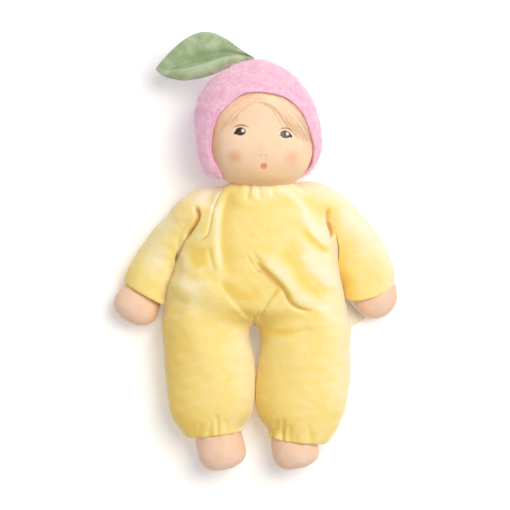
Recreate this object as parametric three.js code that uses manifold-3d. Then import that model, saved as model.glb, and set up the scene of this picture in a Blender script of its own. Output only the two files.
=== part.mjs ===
// A waldorf doll lying on its back: a soft velour suit stuffed with wool, jersey hands and feet,
// a tied wool head under a felt hat, and a cloth leaf on the crown.
// Millimetres. +Z comes up out of the belly, +Y points to the head, and the doll's own left is +X.
// The origin is the middle of the back, on the surface that the doll lies on.
import * as THREE from "three";
import { mergeVertices } from "three/addons/utils/BufferGeometryUtils.js";
import Module from "manifold-3d";

const wasm = await Module();
wasm.setup();

// Cloth, thread and clearances
const velourWall = 1.6;
const jerseyWall = 1.1;
const feltWall = 2.6;
const leafCloth = 1.1;
const labelCloth = 0.7;
const threadRadius = 0.6;
const seamGap = 0.4;
const jointGap = 0.9;
const restFlat = 0.5;
const cutOverrun = 300;

// Torso, from the hip line up to the neckline
const hipBelow = 42;
const waistBelow = 14;
const chestAbove = 17;
const neckAbove = 45;
const hipWidth = 125;
const waistWidth = 112;
const chestWidth = 94;
const neckWidth = 70;
const hipDepth = 52;
const bellyDepth = 58;
const chestDepth = 52;
const neckDepth = 38;
const neckHeight = 31;
const neckLean = 3;

// Arms, from the shoulder pivot to the cuff
const shoulderSpread = 92;
const shoulderAbove = 33;
const shoulderHeight = 25;
const armReachOut = 32;
const armReachDown = 58;
const armBow = 4;
const shoulderWidth = 26;
const sleeveWidth = 31;
const cuffWidth = 33;
const shoulderDepth = 32;
const sleeveDepth = 31;
const cuffDepth = 29;
const armRaise = 75;

// Hands, past the cuff
const handLength = 21;
const handWidth = 32;
const handDepth = 27;
const handTuck = 6;

// Legs, from the hip line to the ankle
const legLength = 80;
const legGap = 4;
const thighWidth = 60;
const calfWidth = 58;
const ankleWidth = 36;
const thighDepth = 46;
const calfDepth = 44;
const ankleDepth = 32;
const ankleTurnIn = 7;
const hipAxisUnderFront = 18;
const hipNarrowing = 4;
const hipFlex = 80;
const seatLip = 62;

// Feet, past the ankle
const footLength = 24;
const footWidth = 36;
const footDepth = 34;
const footTuck = 7;

// Head and neck
const headWidth = 76;
const headDepth = 70;
const crownHeight = 50;
const chinHeight = 34;
const chinAboveNeckline = 1;
const headLean = 2.5;
const headTurn = 40;
const headNod = 8;
const eyeLineAbove = 3;
const pivotAboveChin = 9;
const neckBallRadius = 12;
const neckRadius = 10;
const neckRootDepth = 20;
const neckTieBelow = 6.5;

// Hat, hair and leaf
const hairThickness = 1.4;
const hatOpeningWidth = 70;
const hatOpeningTop = 30;
const hatOpeningBottom = 40;
const hatEndBelow = 29;
const hatSeamBehind = 10;
const hairCovered = 5;
const hairShown = 5;
const hairEndBelow = 12;
const leafLength = 67;
const leafUpperWidth = 21;
const leafLowerWidth = 11;
const leafBaseWidth = 4;
const leafTipWidth = 1.2;
const leafDroop = 10;
const leafFold = 5;
const leafRootOffset = 5;
const leafPointsBelow = 6;

// Neckline hem and side label
const hemHalfWidth = 21;
const hemHalfDepth = 17;
const hemHeight = 35.5;
const hemRadius = 2.2;
const hemScallop = 0.8;
const hemBelowChin = 3.5;
const hemGatherCount = 16;
const labelLength = 12;
const labelReach = 12;
const labelSlant = 6;
const labelAboveHip = 10;

// Counts of flat faces round the forms
const torsoSideCount = 16;
const armSideCount = 12;
const legSideCount = 14;
const headSideCount = 20;
const neckSideCount = 12;

const degrees = THREE.MathUtils.degToRad;
const upward = new THREE.Vector3(0, 0, 1);
const footward = new THREE.Vector3(0, -1, 0);
const headward = new THREE.Vector3(0, 1, 0);

// The value at a place on a smooth curve through stops of [place, value].
function through(stops, place) {
  const last = stops.length - 1;
  const slope = (k) => {
    const before = stops[Math.max(k - 1, 0)];
    const after = stops[Math.min(k + 1, last)];
    return (after[1] - before[1]) / (after[0] - before[0]);
  };
  let i = 0;
  while (i < last - 1 && place > stops[i + 1][0]) i++;
  const [start, low] = stops[i];
  const [end, high] = stops[i + 1];
  const span = end - start;
  const s = THREE.MathUtils.clamp((place - start) / span, 0, 1);
  const ease = s * s * (3 - 2 * s);
  const leaving = s * (1 - s) * (1 - s) * span * slope(i);
  const arriving = s * s * (s - 1) * span * slope(i + 1);
  return low + (high - low) * ease + leaving + arriving;
}

// A closed geometry as a solid that can be joined and cut.
function solidOf(geometry) {
  const bare = geometry.index ? geometry.toNonIndexed() : geometry.clone();
  for (const name of Object.keys(bare.attributes)) {
    if (name !== "position") bare.deleteAttribute(name);
  }
  const merged = mergeVertices(bare);
  return new wasm.Manifold(
    new wasm.Mesh({
      numProp: 3,
      vertProperties: merged.attributes.position.array,
      triVerts: new Uint32Array(merged.index.array),
    }),
  );
}

// A solid as a geometry.
function geometryOf(solid) {
  const mesh = solid.getMesh();
  const geometry = new THREE.BufferGeometry();
  const positions = new Float32Array(mesh.vertProperties);
  geometry.setAttribute("position", new THREE.BufferAttribute(positions, 3));
  geometry.setIndex(new THREE.BufferAttribute(new Uint32Array(mesh.triVerts), 1));
  geometry.computeVertexNormals();
  return geometry;
}

// A solid from points and the triangles between them.
function solidFrom(points, triangles) {
  const geometry = new THREE.BufferGeometry().setFromPoints(points);
  geometry.setIndex(triangles);
  return solidOf(geometry);
}

// A point of a section, which is an ellipse across the spine and up, squarer with its squareness.
function sectionPoint(section, angle) {
  const { centre, across, halfWidth, halfDepth, squareness = 2 } = section;
  const power = 2 / squareness;
  const bend = (value) => Math.sign(value) * Math.abs(value) ** power;
  return centre
    .clone()
    .addScaledVector(across, halfWidth * bend(Math.cos(angle)))
    .addScaledVector(upward, halfDepth * bend(Math.sin(angle)));
}

// A closed form through a row of sections, flat at both ends.
function loft(sections, sides) {
  const points = [];
  const triangles = [];
  for (const section of sections) {
    for (let k = 0; k < sides; k++) {
      points.push(sectionPoint(section, (2 * Math.PI * k) / sides));
    }
  }
  const first = points.push(sections[0].centre.clone()) - 1;
  const last = points.push(sections.at(-1).centre.clone()) - 1;
  const endRow = (sections.length - 1) * sides;
  for (let k = 0; k < sides; k++) {
    const next = (k + 1) % sides;
    for (let i = 0; i < endRow; i += sides) {
      triangles.push(i + k, i + next, i + sides + next);
      triangles.push(i + k, i + sides + next, i + sides + k);
    }
    triangles.push(first, next, k);
    triangles.push(last, endRow + k, endRow + next);
  }
  return solidFrom(points, triangles);
}

// A closed sheet between an outer and an inner grid of points.
function sheet(outer, inner) {
  const rows = outer.length;
  const columns = outer[0].length;
  const points = [...outer.flat(), ...inner.flat()];
  const under = rows * columns;
  const triangles = [];
  const quad = (a, b, c, d) => triangles.push(a, b, c, a, c, d);
  const at = (i, k) => i * columns + k;
  for (let i = 0; i + 1 < rows; i++) {
    for (let k = 0; k + 1 < columns; k++) {
      quad(at(i, k), at(i, k + 1), at(i + 1, k + 1), at(i + 1, k));
      quad(under + at(i, k), under + at(i + 1, k), under + at(i + 1, k + 1), under + at(i, k + 1));
    }
    const edge = columns - 1;
    quad(at(i, 0), at(i + 1, 0), under + at(i + 1, 0), under + at(i, 0));
    quad(at(i, edge), under + at(i, edge), under + at(i + 1, edge), at(i + 1, edge));
  }
  const end = rows - 1;
  for (let k = 0; k + 1 < columns; k++) {
    quad(at(0, k), under + at(0, k), under + at(0, k + 1), at(0, k + 1));
    quad(at(end, k), at(end, k + 1), under + at(end, k + 1), under + at(end, k));
  }
  return solidFrom(points, triangles);
}

// One cloth panel of a stuffed form, from seam to seam over its front or under its back.
function panel(sectionsAt, wall, isFront, sides) {
  const start = isFront ? 0 : Math.PI;
  const steps = sides / 2;
  const grid = (sections) =>
    sections.map((section) => {
      const edge = (seamGap / 2 / section.halfDepth) ** ((section.squareness ?? 2) / 2);
      return Array.from({ length: steps + 1 }, (_, k) => {
        const turn = (Math.PI * k) / steps;
        return sectionPoint(section, start + THREE.MathUtils.clamp(turn, edge, Math.PI - edge));
      });
    });
  return sheet(grid(sectionsAt(0)), grid(sectionsAt(-wall)));
}

// The half space on the side of a plane that its normal points to.
function beyondPlane(point, normal) {
  const box = new THREE.BoxGeometry(cutOverrun, cutOverrun, cutOverrun);
  box.translate(0, 0, cutOverrun / 2);
  box.applyQuaternion(new THREE.Quaternion().setFromUnitVectors(upward, normal));
  box.translate(point.x, point.y, point.z);
  return solidOf(box);
}

const underFloor = beyondPlane(new THREE.Vector3(), upward.clone().negate());

// A solid turned about an axis through a point.
function turned(solid, point, axis, angle) {
  const matrix = new THREE.Matrix4()
    .makeTranslation(point.x, point.y, point.z)
    .multiply(new THREE.Matrix4().makeRotationAxis(axis, angle))
    .multiply(new THREE.Matrix4().makeTranslation(-point.x, -point.y, -point.z));
  return solid.transform(matrix.elements);
}

// A ring of thread round an elliptical neck of cloth, whose axis lies flat.
function threadRing(centre, axis, halfWidth, halfDepth, radius, steps) {
  const ring = new THREE.TorusGeometry(halfWidth, radius, threadSideCount, steps);
  const positions = ring.attributes.position;
  for (let i = 0; i < positions.count; i++) {
    const point = new THREE.Vector3().fromBufferAttribute(positions, i);
    const around = Math.atan2(point.y, point.x);
    const out = Math.hypot(point.x, point.y) - halfWidth;
    const x = Math.cos(around) * (halfWidth + out);
    const y = Math.sin(around) * (halfDepth + out);
    positions.setXYZ(i, x, y, point.z);
  }
  ring.rotateX(Math.PI / 2);
  ring.rotateZ(Math.atan2(-axis.x, axis.y));
  ring.translate(centre.x, centre.y, centre.z);
  return solidOf(ring);
}
const threadSideCount = 5;

// A mitt or a foot: a stub tucked into the cuff, then a rounded bag.
function bagSections(root, heading, sizes, grow) {
  const { tuck, length, stubWidth, stubDepth, width, depth } = sizes;
  const across = upward.clone().cross(heading);
  const section = (along, halfWidth, halfDepth) => ({
    centre: root.clone().addScaledVector(heading, along),
    across,
    halfWidth,
    halfDepth,
  });
  const stub = [-tuck, -tuck / 3, 0].map((along) =>
    section(along, stubWidth / 2 + grow, stubDepth / 2 + grow),
  );
  const bag = bagShares.map(([alongShare, sizeShare]) =>
    section(
      seamGap + alongShare * (length + grow - seamGap),
      (width / 2 + grow) * sizeShare,
      (depth / 2 + grow) * sizeShare,
    ),
  );
  return [...stub, ...bag];
}
const bagShares = [
  [0.05, 0.95],
  [0.25, 1],
  [0.5, 0.99],
  [0.72, 0.9],
  [0.88, 0.68],
  [0.97, 0.38],
  [1, 0.12],
];

// Materials
const cloth = (color, roughness) => new THREE.MeshStandardMaterial({ color, roughness });
const velour = cloth(0xfbe28d, 0.95);
const skin = cloth(0xf6cbae, 0.9);
const felt = cloth(0xf4bfd3, 1);
const leafCotton = cloth(0xaec096, 0.9);
const mohair = cloth(0xf0d2a6, 0.8);
const wool = cloth(0xf3ecd9, 1);
const thread = cloth(0xf6efe0, 0.8);
const labelTape = cloth(0xf7efe3, 0.85);

const doll = new THREE.Group();

// Adds a named piece to the doll.
function piece(name, solid, material) {
  const mesh = new THREE.Mesh(geometryOf(solid), material);
  mesh.name = name;
  doll.add(mesh);
}

// Torso sections, from below the hip line, where the legs' room trims them, up to the neckline
const torsoBelow = hipBelow + thighDepth / 2;
const torsoSquareness = 2.35;
const torsoWidths = [
  [-torsoBelow, hipWidth / 2],
  [-hipBelow, hipWidth / 2],
  [-waistBelow, waistWidth / 2],
  [chestAbove, chestWidth / 2],
  [neckAbove, neckWidth / 2],
];
const torsoDepths = [
  [-torsoBelow, hipDepth / 2],
  [-hipBelow, hipDepth / 2],
  [-waistBelow, bellyDepth / 2],
  [chestAbove, chestDepth / 2],
  [neckAbove, neckDepth / 2],
];
const torsoHeights = [
  [-torsoBelow, hipDepth / 2 - restFlat],
  [-hipBelow, hipDepth / 2 - restFlat],
  [-waistBelow, bellyDepth / 2 - restFlat],
  [chestAbove, chestDepth / 2 - restFlat],
  [neckAbove, neckHeight],
];
const torsoRingShares = [0, 0.15, 0.3, 0.42, 0.54, 0.65, 0.75, 0.84, 0.92, 1];

// How far the torso leans to the doll's left at a place along it.
function leanAt(place) {
  return neckLean * THREE.MathUtils.smoothstep(place, -hipBelow, neckAbove);
}

function torsoSections(grow) {
  return torsoRingShares.map((share) => {
    const place = -torsoBelow + share * (torsoBelow + neckAbove);
    return {
      centre: new THREE.Vector3(leanAt(place), place, through(torsoHeights, place)),
      across: new THREE.Vector3(-1, 0, 0),
      halfWidth: through(torsoWidths, place) + grow,
      halfDepth: through(torsoDepths, place) + grow,
      squareness: torsoSquareness,
    };
  });
}

// Arms
const sides = { left: 1, right: -1 };
const armLevelShare = 0.75;
const sleeveFullShare = 0.6;
const armWidths = [
  [0, shoulderWidth / 2],
  [sleeveFullShare, sleeveWidth / 2],
  [1, cuffWidth / 2],
];
const armDepths = [
  [0, shoulderDepth / 2],
  [sleeveFullShare, sleeveDepth / 2],
  [1, cuffDepth / 2],
];
const openEndShares = [0.45, 0.72, 0.92, 1];
const closedEndShares = [0.2, ...openEndShares];
const armRingCount = 6;

function shoulderOf(side) {
  const x = leanAt(shoulderAbove) + (side * shoulderSpread) / 2;
  return new THREE.Vector3(x, shoulderAbove, shoulderHeight);
}

// The arm's spine, bowed outwards, from the shoulder down to the level of the cuff.
function armSpine(side) {
  const start = shoulderOf(side);
  const reach = new THREE.Vector3(side * armReachOut, -armReachDown, 0);
  const bow = new THREE.Vector3(side * armReachDown, armReachOut, 0).setLength(armBow);
  const drop = start.z - (cuffDepth / 2 - restFlat);
  const at = (share, bowShare) =>
    start
      .clone()
      .addScaledVector(reach, share)
      .addScaledVector(bow, bowShare)
      .addScaledVector(upward, -drop * Math.min(share / armLevelShare, 1));
  return new THREE.CatmullRomCurve3([at(0, 0), at(1 / 3, 1), at(2 / 3, 1), at(1, 0)]);
}

// Sections of an arm: an end that is round about the shoulder's axis, then rings to the cuff.
function armSections(side, grow, endShares, ringCount) {
  const spine = armSpine(side);
  const start = spine.getPoint(0);
  const flat = (share) => spine.getTangent(share).setZ(0).normalize();
  const radius = shoulderWidth / 2 + grow;
  const sections = endShares.map((share) => ({
    centre: start.clone().addScaledVector(flat(0), -radius * Math.sqrt(1 - share * share)),
    across: upward.clone().cross(flat(0)),
    halfWidth: radius * share,
    halfDepth: (shoulderDepth / 2 + grow) * share,
  }));
  for (let k = 1; k <= ringCount; k++) {
    const share = k / ringCount;
    sections.push({
      centre: spine.getPoint(share),
      across: upward.clone().cross(flat(share)),
      halfWidth: through(armWidths, share) + grow,
      halfDepth: through(armDepths, share) + grow,
    });
  }
  return sections;
}

// Everything of one arm that moves with it.
function makeArm(name, side) {
  const sections = (grow) => armSections(side, grow, openEndShares, armRingCount);
  const back = panel(sections, velourWall, false, armSideCount).subtract(underFloor);
  piece(`sleeve_front_${name}`, panel(sections, velourWall, true, armSideCount), velour);
  piece(`sleeve_back_${name}`, back, velour);

  const spine = armSpine(side);
  const cuff = spine.getPoint(1);
  const heading = spine.getTangent(1).setZ(0).normalize();
  makeBag(name, "hand", cuff, heading, armSideCount, {
    tuck: handTuck,
    length: handLength,
    cuffWidth,
    cuffDepth,
    width: handWidth,
    depth: handDepth,
  });
  const fillSections = armSections(side, -velourWall - seamGap, closedEndShares, armRingCount);
  const fill = loft(fillSections, armSideCount);
  const fillEnd = cuff.clone().addScaledVector(heading, -handTuck - seamGap);
  piece(`arm_wool_${name}`, fill.subtract(beyondPlane(fillEnd, heading)), wool);
}

// A hand or a foot: its skin, its wool and the thread that ties it inside the cuff.
function makeBag(name, kind, cuff, heading, steps, sizes) {
  const threadInset = velourWall + seamGap + threadRadius;
  const stubInset = threadInset + threadRadius + seamGap;
  const bag = {
    ...sizes,
    stubWidth: sizes.cuffWidth - 2 * stubInset,
    stubDepth: sizes.cuffDepth - 2 * stubInset,
  };
  const opened = { ...bag, tuck: 2 * bag.tuck };
  const outside = loft(bagSections(cuff, heading, bag, 0), steps);
  const inside = loft(bagSections(cuff, heading, opened, -jerseyWall), steps);
  const fill = loft(bagSections(cuff, heading, bag, -jerseyWall - seamGap), steps);
  const tie = threadRing(
    cuff.clone().addScaledVector(heading, -bag.tuck / 2),
    heading,
    bag.cuffWidth / 2 - threadInset,
    bag.cuffDepth / 2 - threadInset,
    threadRadius,
    steps,
  );
  piece(`${kind}_skin_${name}`, outside.subtract(inside), skin);
  piece(`${kind}_wool_${name}`, fill, wool);
  piece(`${kind}_tie_thread_${name}`, tie, thread);
}

// Legs
const legSquareness = 2.2;
const hipHeight = thighDepth - restFlat - hipAxisUnderFront;
const legHeight = thighDepth / 2 - restFlat;
const legRingShares = [0.16, 0.34, 0.52, 0.68, 0.8, 0.89, 0.95, 0.99, 1];
const gatherShares = [0.5, 0.8, 0.95];
const legWidths = [
  [0, thighWidth / 2],
  [gatherShares[0], thighWidth / 2],
  [gatherShares[1], calfWidth / 2],
  [gatherShares[2], (calfWidth + ankleWidth) / 4],
  [1, ankleWidth / 2],
];
const legDepths = [
  [0, thighDepth / 2],
  [gatherShares[0], thighDepth / 2],
  [gatherShares[1], calfDepth / 2],
  [gatherShares[2], (calfDepth + ankleDepth) / 4],
  [1, ankleDepth / 2],
];

const legTurnShares = [
  [0, 0],
  [0.5, 0.02],
  [0.8, 0.38],
  [0.95, 0.8],
  [1, 1],
];

// A point on the leg's spine at a share of its length, turning in towards the ankle.
function legPoint(side, share) {
  const inward = ankleTurnIn * through(legTurnShares, share);
  const x = side * ((thighWidth + legGap) / 2 - inward);
  return new THREE.Vector3(x, -hipBelow - share * legLength, legHeight);
}

// Sections of a leg: an end rounded about the hip's axis, then rings down to the ankle.
function legSections(side, grow, endShares) {
  const hip = legPoint(side, 0).setZ(hipHeight);
  const across = upward.clone().cross(footward);
  const end = endShares.map((share) => {
    const along = -(hipAxisUnderFront + grow) * Math.sqrt(1 - share * share);
    return {
      centre: hip
        .clone()
        .addScaledVector(footward, along)
        .addScaledVector(upward, (legHeight - hipHeight) * share),
      across,
      halfWidth: thighWidth / 2 + grow - hipNarrowing * (1 - share),
      halfDepth: (thighDepth / 2 + grow) * share,
      squareness: legSquareness,
    };
  });
  const rings = legRingShares.map((share) => ({
    centre: legPoint(side, share),
    across,
    halfWidth: through(legWidths, share) + grow,
    halfDepth: through(legDepths, share) + grow,
    squareness: legSquareness,
  }));
  return [...end, ...rings];
}

// Everything of one leg that moves with it.
function makeLeg(name, side) {
  const sections = (grow) => legSections(side, grow, openEndShares);
  const back = panel(sections, velourWall, false, legSideCount).subtract(underFloor);
  piece(`trouser_front_${name}`, panel(sections, velourWall, true, legSideCount), velour);
  piece(`trouser_back_${name}`, back, velour);

  const ankle = legPoint(side, 1);
  makeBag(name, "foot", ankle, footward, legSideCount, {
    tuck: footTuck,
    length: footLength,
    cuffWidth: ankleWidth,
    cuffDepth: ankleDepth,
    width: footWidth,
    depth: footDepth,
  });
  const fill = loft(legSections(side, -velourWall - seamGap, closedEndShares), legSideCount);
  const fillEnd = ankle.clone().addScaledVector(footward, -footTuck - seamGap);
  piece(`leg_wool_${name}`, fill.subtract(beyondPlane(fillEnd, footward)), wool);
}

// Head: forms of revolution about the neck's axis, flattened from front to back
const underHat = hairThickness + 2 * seamGap;
const headHeight = headDepth / 2 + underHat + feltWall - restFlat;
const headCentre = new THREE.Vector3(
  headLean,
  neckAbove + chinAboveNeckline + chinHeight,
  headHeight,
);

// Heights and radii of the egg-shaped head, from chin to crown.
const eggShares = [
  [-1, 0],
  [-0.93, 0.4],
  [-0.78, 0.68],
  [-0.56, 0.87],
  [-0.28, 0.975],
  [0, 1],
  [0.25, 0.975],
  [0.48, 0.89],
  [0.7, 0.73],
  [0.88, 0.49],
  [1, 0],
];

// A profile of [radius, height above the head's centre] turned about the head's axis.
function headLathe(profile, steps, depthRatio = 1) {
  const form = new THREE.LatheGeometry(
    profile.map(([radius, height]) => new THREE.Vector2(radius, height)),
    steps,
  );
  form.scale(1, 1, depthRatio);
  form.translate(headCentre.x, headCentre.y, headCentre.z);
  return solidOf(form);
}

function eggProfile(radius, above, below) {
  return eggShares.map(([heightShare, radiusShare]) => [
    radiusShare * radius,
    heightShare * (heightShare < 0 ? below : above),
  ]);
}

// The head's form, grown or shrunk.
function headForm(grow) {
  const radius = headWidth / 2 + grow;
  const profile = eggProfile(radius, crownHeight + grow, chinHeight + grow);
  return headLathe(profile, headSideCount, (headDepth / 2 + grow) / radius);
}

const pivotHeight = pivotAboveChin - chinHeight;
const neckRootHeight = -chinHeight - neckRootDepth;

// A neck of one radius with a ball on top at the head's pivot, from a height up.
function neckForm(radius, ballRadius, from) {
  const lowest = -Math.sqrt(ballRadius ** 2 - radius ** 2);
  const start = Math.asin(lowest / ballRadius);
  const ball = Array.from({ length: ballRingCount }, (_, k) => {
    const angle = start + ((Math.PI / 2 - start) * k) / ballRingCount;
    return [ballRadius * Math.cos(angle), pivotHeight + ballRadius * Math.sin(angle)];
  });
  return headLathe(
    [[0, from], [radius, from], ...ball, [0, pivotHeight + ballRadius]],
    neckSideCount,
  );
}

const ballRingCount = 5;

// The room that the turning and nodding head sweeps above the neckline.
function headRoom() {
  const cosine = Math.cos(degrees(headNod));
  const sine = Math.sin(degrees(headNod));
  const radius = headWidth / 2 + underHat + feltWall + jointGap;
  const swept = eggProfile(radius, crownHeight, chinHeight + seamGap)
    .filter(([, height]) => height <= 0)
    .map(([out, height]) => {
      const above = height - pivotHeight;
      return [
        Math.max(out * cosine + above * sine, 0),
        Math.min(pivotHeight + above * cosine - out * sine, height),
      ];
    });
  return headLathe([[0, -chinHeight - seamGap], ...swept.slice(1), [0, 0]], headSideCount);
}

// The room under a face opening of the hat or the hair, as a prism along Z.
function openingRoom(inset) {
  const shape = new THREE.Shape();
  const halfWidth = hatOpeningWidth / 2 - inset;
  shape.absellipse(0, 0, halfWidth, hatOpeningTop - inset, 0, Math.PI, false, 0);
  shape.absellipse(0, 0, halfWidth, hatOpeningBottom, Math.PI, 2 * Math.PI, false, 0);
  const prism = new THREE.ExtrudeGeometry(shape, {
    depth: cutOverrun,
    bevelEnabled: false,
    curveSegments: openingSegmentCount,
  });
  prism.translate(headCentre.x, headCentre.y, headCentre.z);
  return solidOf(prism);
}
const openingSegmentCount = 10;

// The head and what it wears.
function makeHead() {
  const socketRadius = neckBallRadius + seamGap;
  const socket = neckForm(socketRadius, socketRadius, neckRootHeight);
  const skinInside = headForm(-jerseyWall);
  const fillGrow = -jerseyWall - seamGap;
  const threadInset = -fillGrow + threadRadius;
  const eyeLine = headCentre.clone().setY(headCentre.y + eyeLineAbove);
  const tie = (radius) =>
    threadRing(
      eyeLine,
      headward,
      headWidth / 2 - threadInset,
      headDepth / 2 - threadInset,
      radius,
      headSideCount,
    );
  const fill = headForm(fillGrow).subtract(socket).subtract(tie(threadRadius + seamGap));
  piece("head_wool", fill, wool);
  piece("eye_line_thread", tie(threadRadius), thread);
  piece("head_skin", headForm(0).subtract(skinInside).subtract(socket), skin);

  const hairEnd = headCentre.clone().setY(headCentre.y - hairEndBelow);
  const fringe = headForm(seamGap + hairThickness)
    .subtract(headForm(seamGap))
    .intersect(openingRoom(-hairCovered))
    .subtract(openingRoom(hairShown))
    .subtract(beyondPlane(hairEnd, footward));
  piece("hair_fringe", fringe, mohair);

  const hatEnd = headCentre.clone().setY(headCentre.y - hatEndBelow);
  const hat = headForm(underHat + feltWall)
    .subtract(headForm(underHat))
    .subtract(openingRoom(0))
    .subtract(beyondPlane(hatEnd, footward))
    .subtract(underFloor);
  const seam = headCentre.clone().setZ(headHeight - hatSeamBehind);
  const backRoom = beyondPlane(seam, upward.clone().negate());
  const frontRoom = beyondPlane(seam.clone().setZ(seam.z - seamGap), upward);
  piece("hat_front", hat.subtract(backRoom), felt);
  piece("hat_back", hat.subtract(frontRoom), felt);
}

// The neck roll, rooted in the body's wool, and the thread that ties the head's cloth to it.
function makeNeck() {
  piece("neck_wool_roll", neckForm(neckRadius, neckBallRadius, neckRootHeight), wool);
  const tieCentre = headCentre.clone().setY(headCentre.y - chinHeight - neckTieBelow);
  const tieRadius = neckRadius + seamGap + threadRadius;
  const tie = threadRing(tieCentre, headward, tieRadius, tieRadius, threadRadius, neckSideCount);
  piece("neck_tie_thread", tie, thread);
}

// The leaf: two layers of cloth folded along the midrib, drooping to the tip.
const leafRingCount = 9;
const leafUpperShares = [
  [0, 0],
  [0.12, 0.3],
  [0.35, 0.8],
  [0.55, 1],
  [0.75, 0.82],
  [0.9, 0.45],
  [1, 0],
];
const leafLowerShares = [
  [0, 0],
  [0.2, 0.2],
  [0.5, 0.72],
  [0.72, 1],
  [0.88, 0.75],
  [1, 0],
];

// The middle of the leaf's base, just clear of the hat beside its crown.
function leafRoot() {
  const hatTop = crownHeight + underHat + feltWall;
  const hatRadius = headWidth / 2 + underHat + feltWall;
  const [shoulderShare, shoulderRadiusShare] = eggShares.at(-2);
  const fall = (hatTop * (1 - shoulderShare) * leafRootOffset) / (shoulderRadiusShare * hatRadius);
  return new THREE.Vector3(
    headCentre.x - leafRootOffset,
    headCentre.y + hatTop - fall + leafBaseWidth / 2 + seamGap,
    headHeight,
  );
}

function leafLayer(lift) {
  const root = leafRoot();
  const grid = (layerLift) =>
    Array.from({ length: leafRingCount + 1 }, (_, i) => {
      const share = i / leafRingCount;
      const edge = THREE.MathUtils.lerp(leafBaseWidth, leafTipWidth, share) / 2;
      const upper = edge + leafUpperWidth * through(leafUpperShares, share);
      const lower = edge + leafLowerWidth * through(leafLowerShares, share);
      return [-lower, -lower / 2, 0, upper / 2, upper].map((out) => {
        const fall = leafDroop * share ** 2 + leafFold * Math.abs(out / leafUpperWidth);
        return new THREE.Vector3(
          root.x - leafLength * share,
          root.y - leafPointsBelow * share + out,
          root.z - fall + layerLift,
        );
      });
    });
  return sheet(grid(lift + leafCloth), grid(lift));
}

function makeLeaf() {
  piece("leaf_top", leafLayer(seamGap / 2), leafCotton);
  piece("leaf_underside", leafLayer(-seamGap / 2 - leafCloth), leafCotton);
}

// The room that a flexing leg sweeps under the torso, as a prism across both legs.
function legRoom() {
  const front = hipAxisUnderFront + jointGap;
  const behind = thighDepth - hipAxisUnderFront + jointGap;
  const far = cutOverrun / 2;
  const lip = -degrees(seatLip);
  const top = degrees(90 - hipFlex);
  const shape = new THREE.Shape();
  shape.moveTo(front * Math.cos(lip), -far);
  shape.lineTo(front * Math.cos(lip), behind * Math.sin(lip));
  shape.absellipse(0, 0, front, behind, lip, 0, false, 0);
  shape.absarc(0, 0, front, 0, top, false);
  shape.lineTo(
    front * Math.cos(top) - far * Math.sin(top),
    front * Math.sin(top) + far * Math.cos(top),
  );
  shape.lineTo(-far, far);
  shape.lineTo(-far, -far);
  shape.closePath();
  const prism = new THREE.ExtrudeGeometry(shape, {
    depth: cutOverrun,
    bevelEnabled: false,
    curveSegments: legRoomSegmentCount,
  });
  prism.translate(0, 0, -cutOverrun / 2);
  prism.applyMatrix4(new THREE.Matrix4().makeBasis(headward, upward, new THREE.Vector3(1, 0, 0)));
  prism.translate(0, -hipBelow, hipHeight);
  return solidOf(prism);
}
const legRoomSegmentCount = 5;

// The room that an arm sweeps as it is raised.
function armRoom(side) {
  const grow = seamGap + (1 / Math.cos(Math.PI / armSideCount) - 1) * (shoulderWidth / 2);
  const arm = loft(armSections(side, grow, closedEndShares, armRoomRingCount), armSideCount);
  let room = arm;
  for (let k = 1; k <= armRoomStepCount; k++) {
    const angle = degrees((side * armRaise * k) / armRoomStepCount);
    room = room.add(turned(arm, shoulderOf(side), upward, angle));
  }
  return room;
}
const armRoomRingCount = 2;
const armRoomStepCount = 2;

// The gathered roll round the neckline, scalloped by its gathers.
function necklineHem(grow) {
  const ringCount = hemGatherCount * 2;
  const points = [];
  const triangles = [];
  for (let i = 0; i < ringCount; i++) {
    const around = (2 * Math.PI * i) / ringCount;
    const radius = hemRadius + grow + (i % 2 ? hemScallop : -hemScallop) / 2;
    for (let k = 0; k < hemSideCount; k++) {
      const angle = (2 * Math.PI * k) / hemSideCount;
      const out = radius * Math.cos(angle);
      points.push(
        new THREE.Vector3(
          headCentre.x + Math.cos(around) * (hemHalfWidth + out),
          headCentre.y - chinHeight - hemBelowChin + radius * Math.sin(angle),
          hemHeight + Math.sin(around) * (hemHalfDepth + out),
        ),
      );
      const next = ((i + 1) % ringCount) * hemSideCount;
      const up = (k + 1) % hemSideCount;
      triangles.push(i * hemSideCount + k, i * hemSideCount + up, next + k);
      triangles.push(i * hemSideCount + up, next + up, next + k);
    }
  }
  return solidFrom(points, triangles);
}
const hemSideCount = 5;

// The label in the left leg's side seam: a strip that drops from it and runs out near the ground.
function makeLabel() {
  const x = legPoint(sides.left, 0).x + thighWidth / 2 + seamGap;
  const start = labelAboveHip - hipBelow;
  const grid = (lift) =>
    labelShares.map(([outShare, heightShare]) =>
      [0, 1].map(
        (alongShare) =>
          new THREE.Vector3(
            x + labelReach * outShare + (heightShare > labelBendShare ? lift : 0),
            start - labelLength * alongShare - labelSlant * outShare,
            restFlat + (legHeight - restFlat) * heightShare + (heightShare > labelBendShare ? 0 : lift),
          ),
      ),
    );
  piece("side_label", sheet(grid(labelCloth), grid(0)), labelTape);
}
const labelBendShare = 0.2;
const labelShares = [
  [0, 1],
  [0.08, 0.6],
  [0.2, 0.25],
  [0.4, 0.08],
  [1, 0],
];

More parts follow.
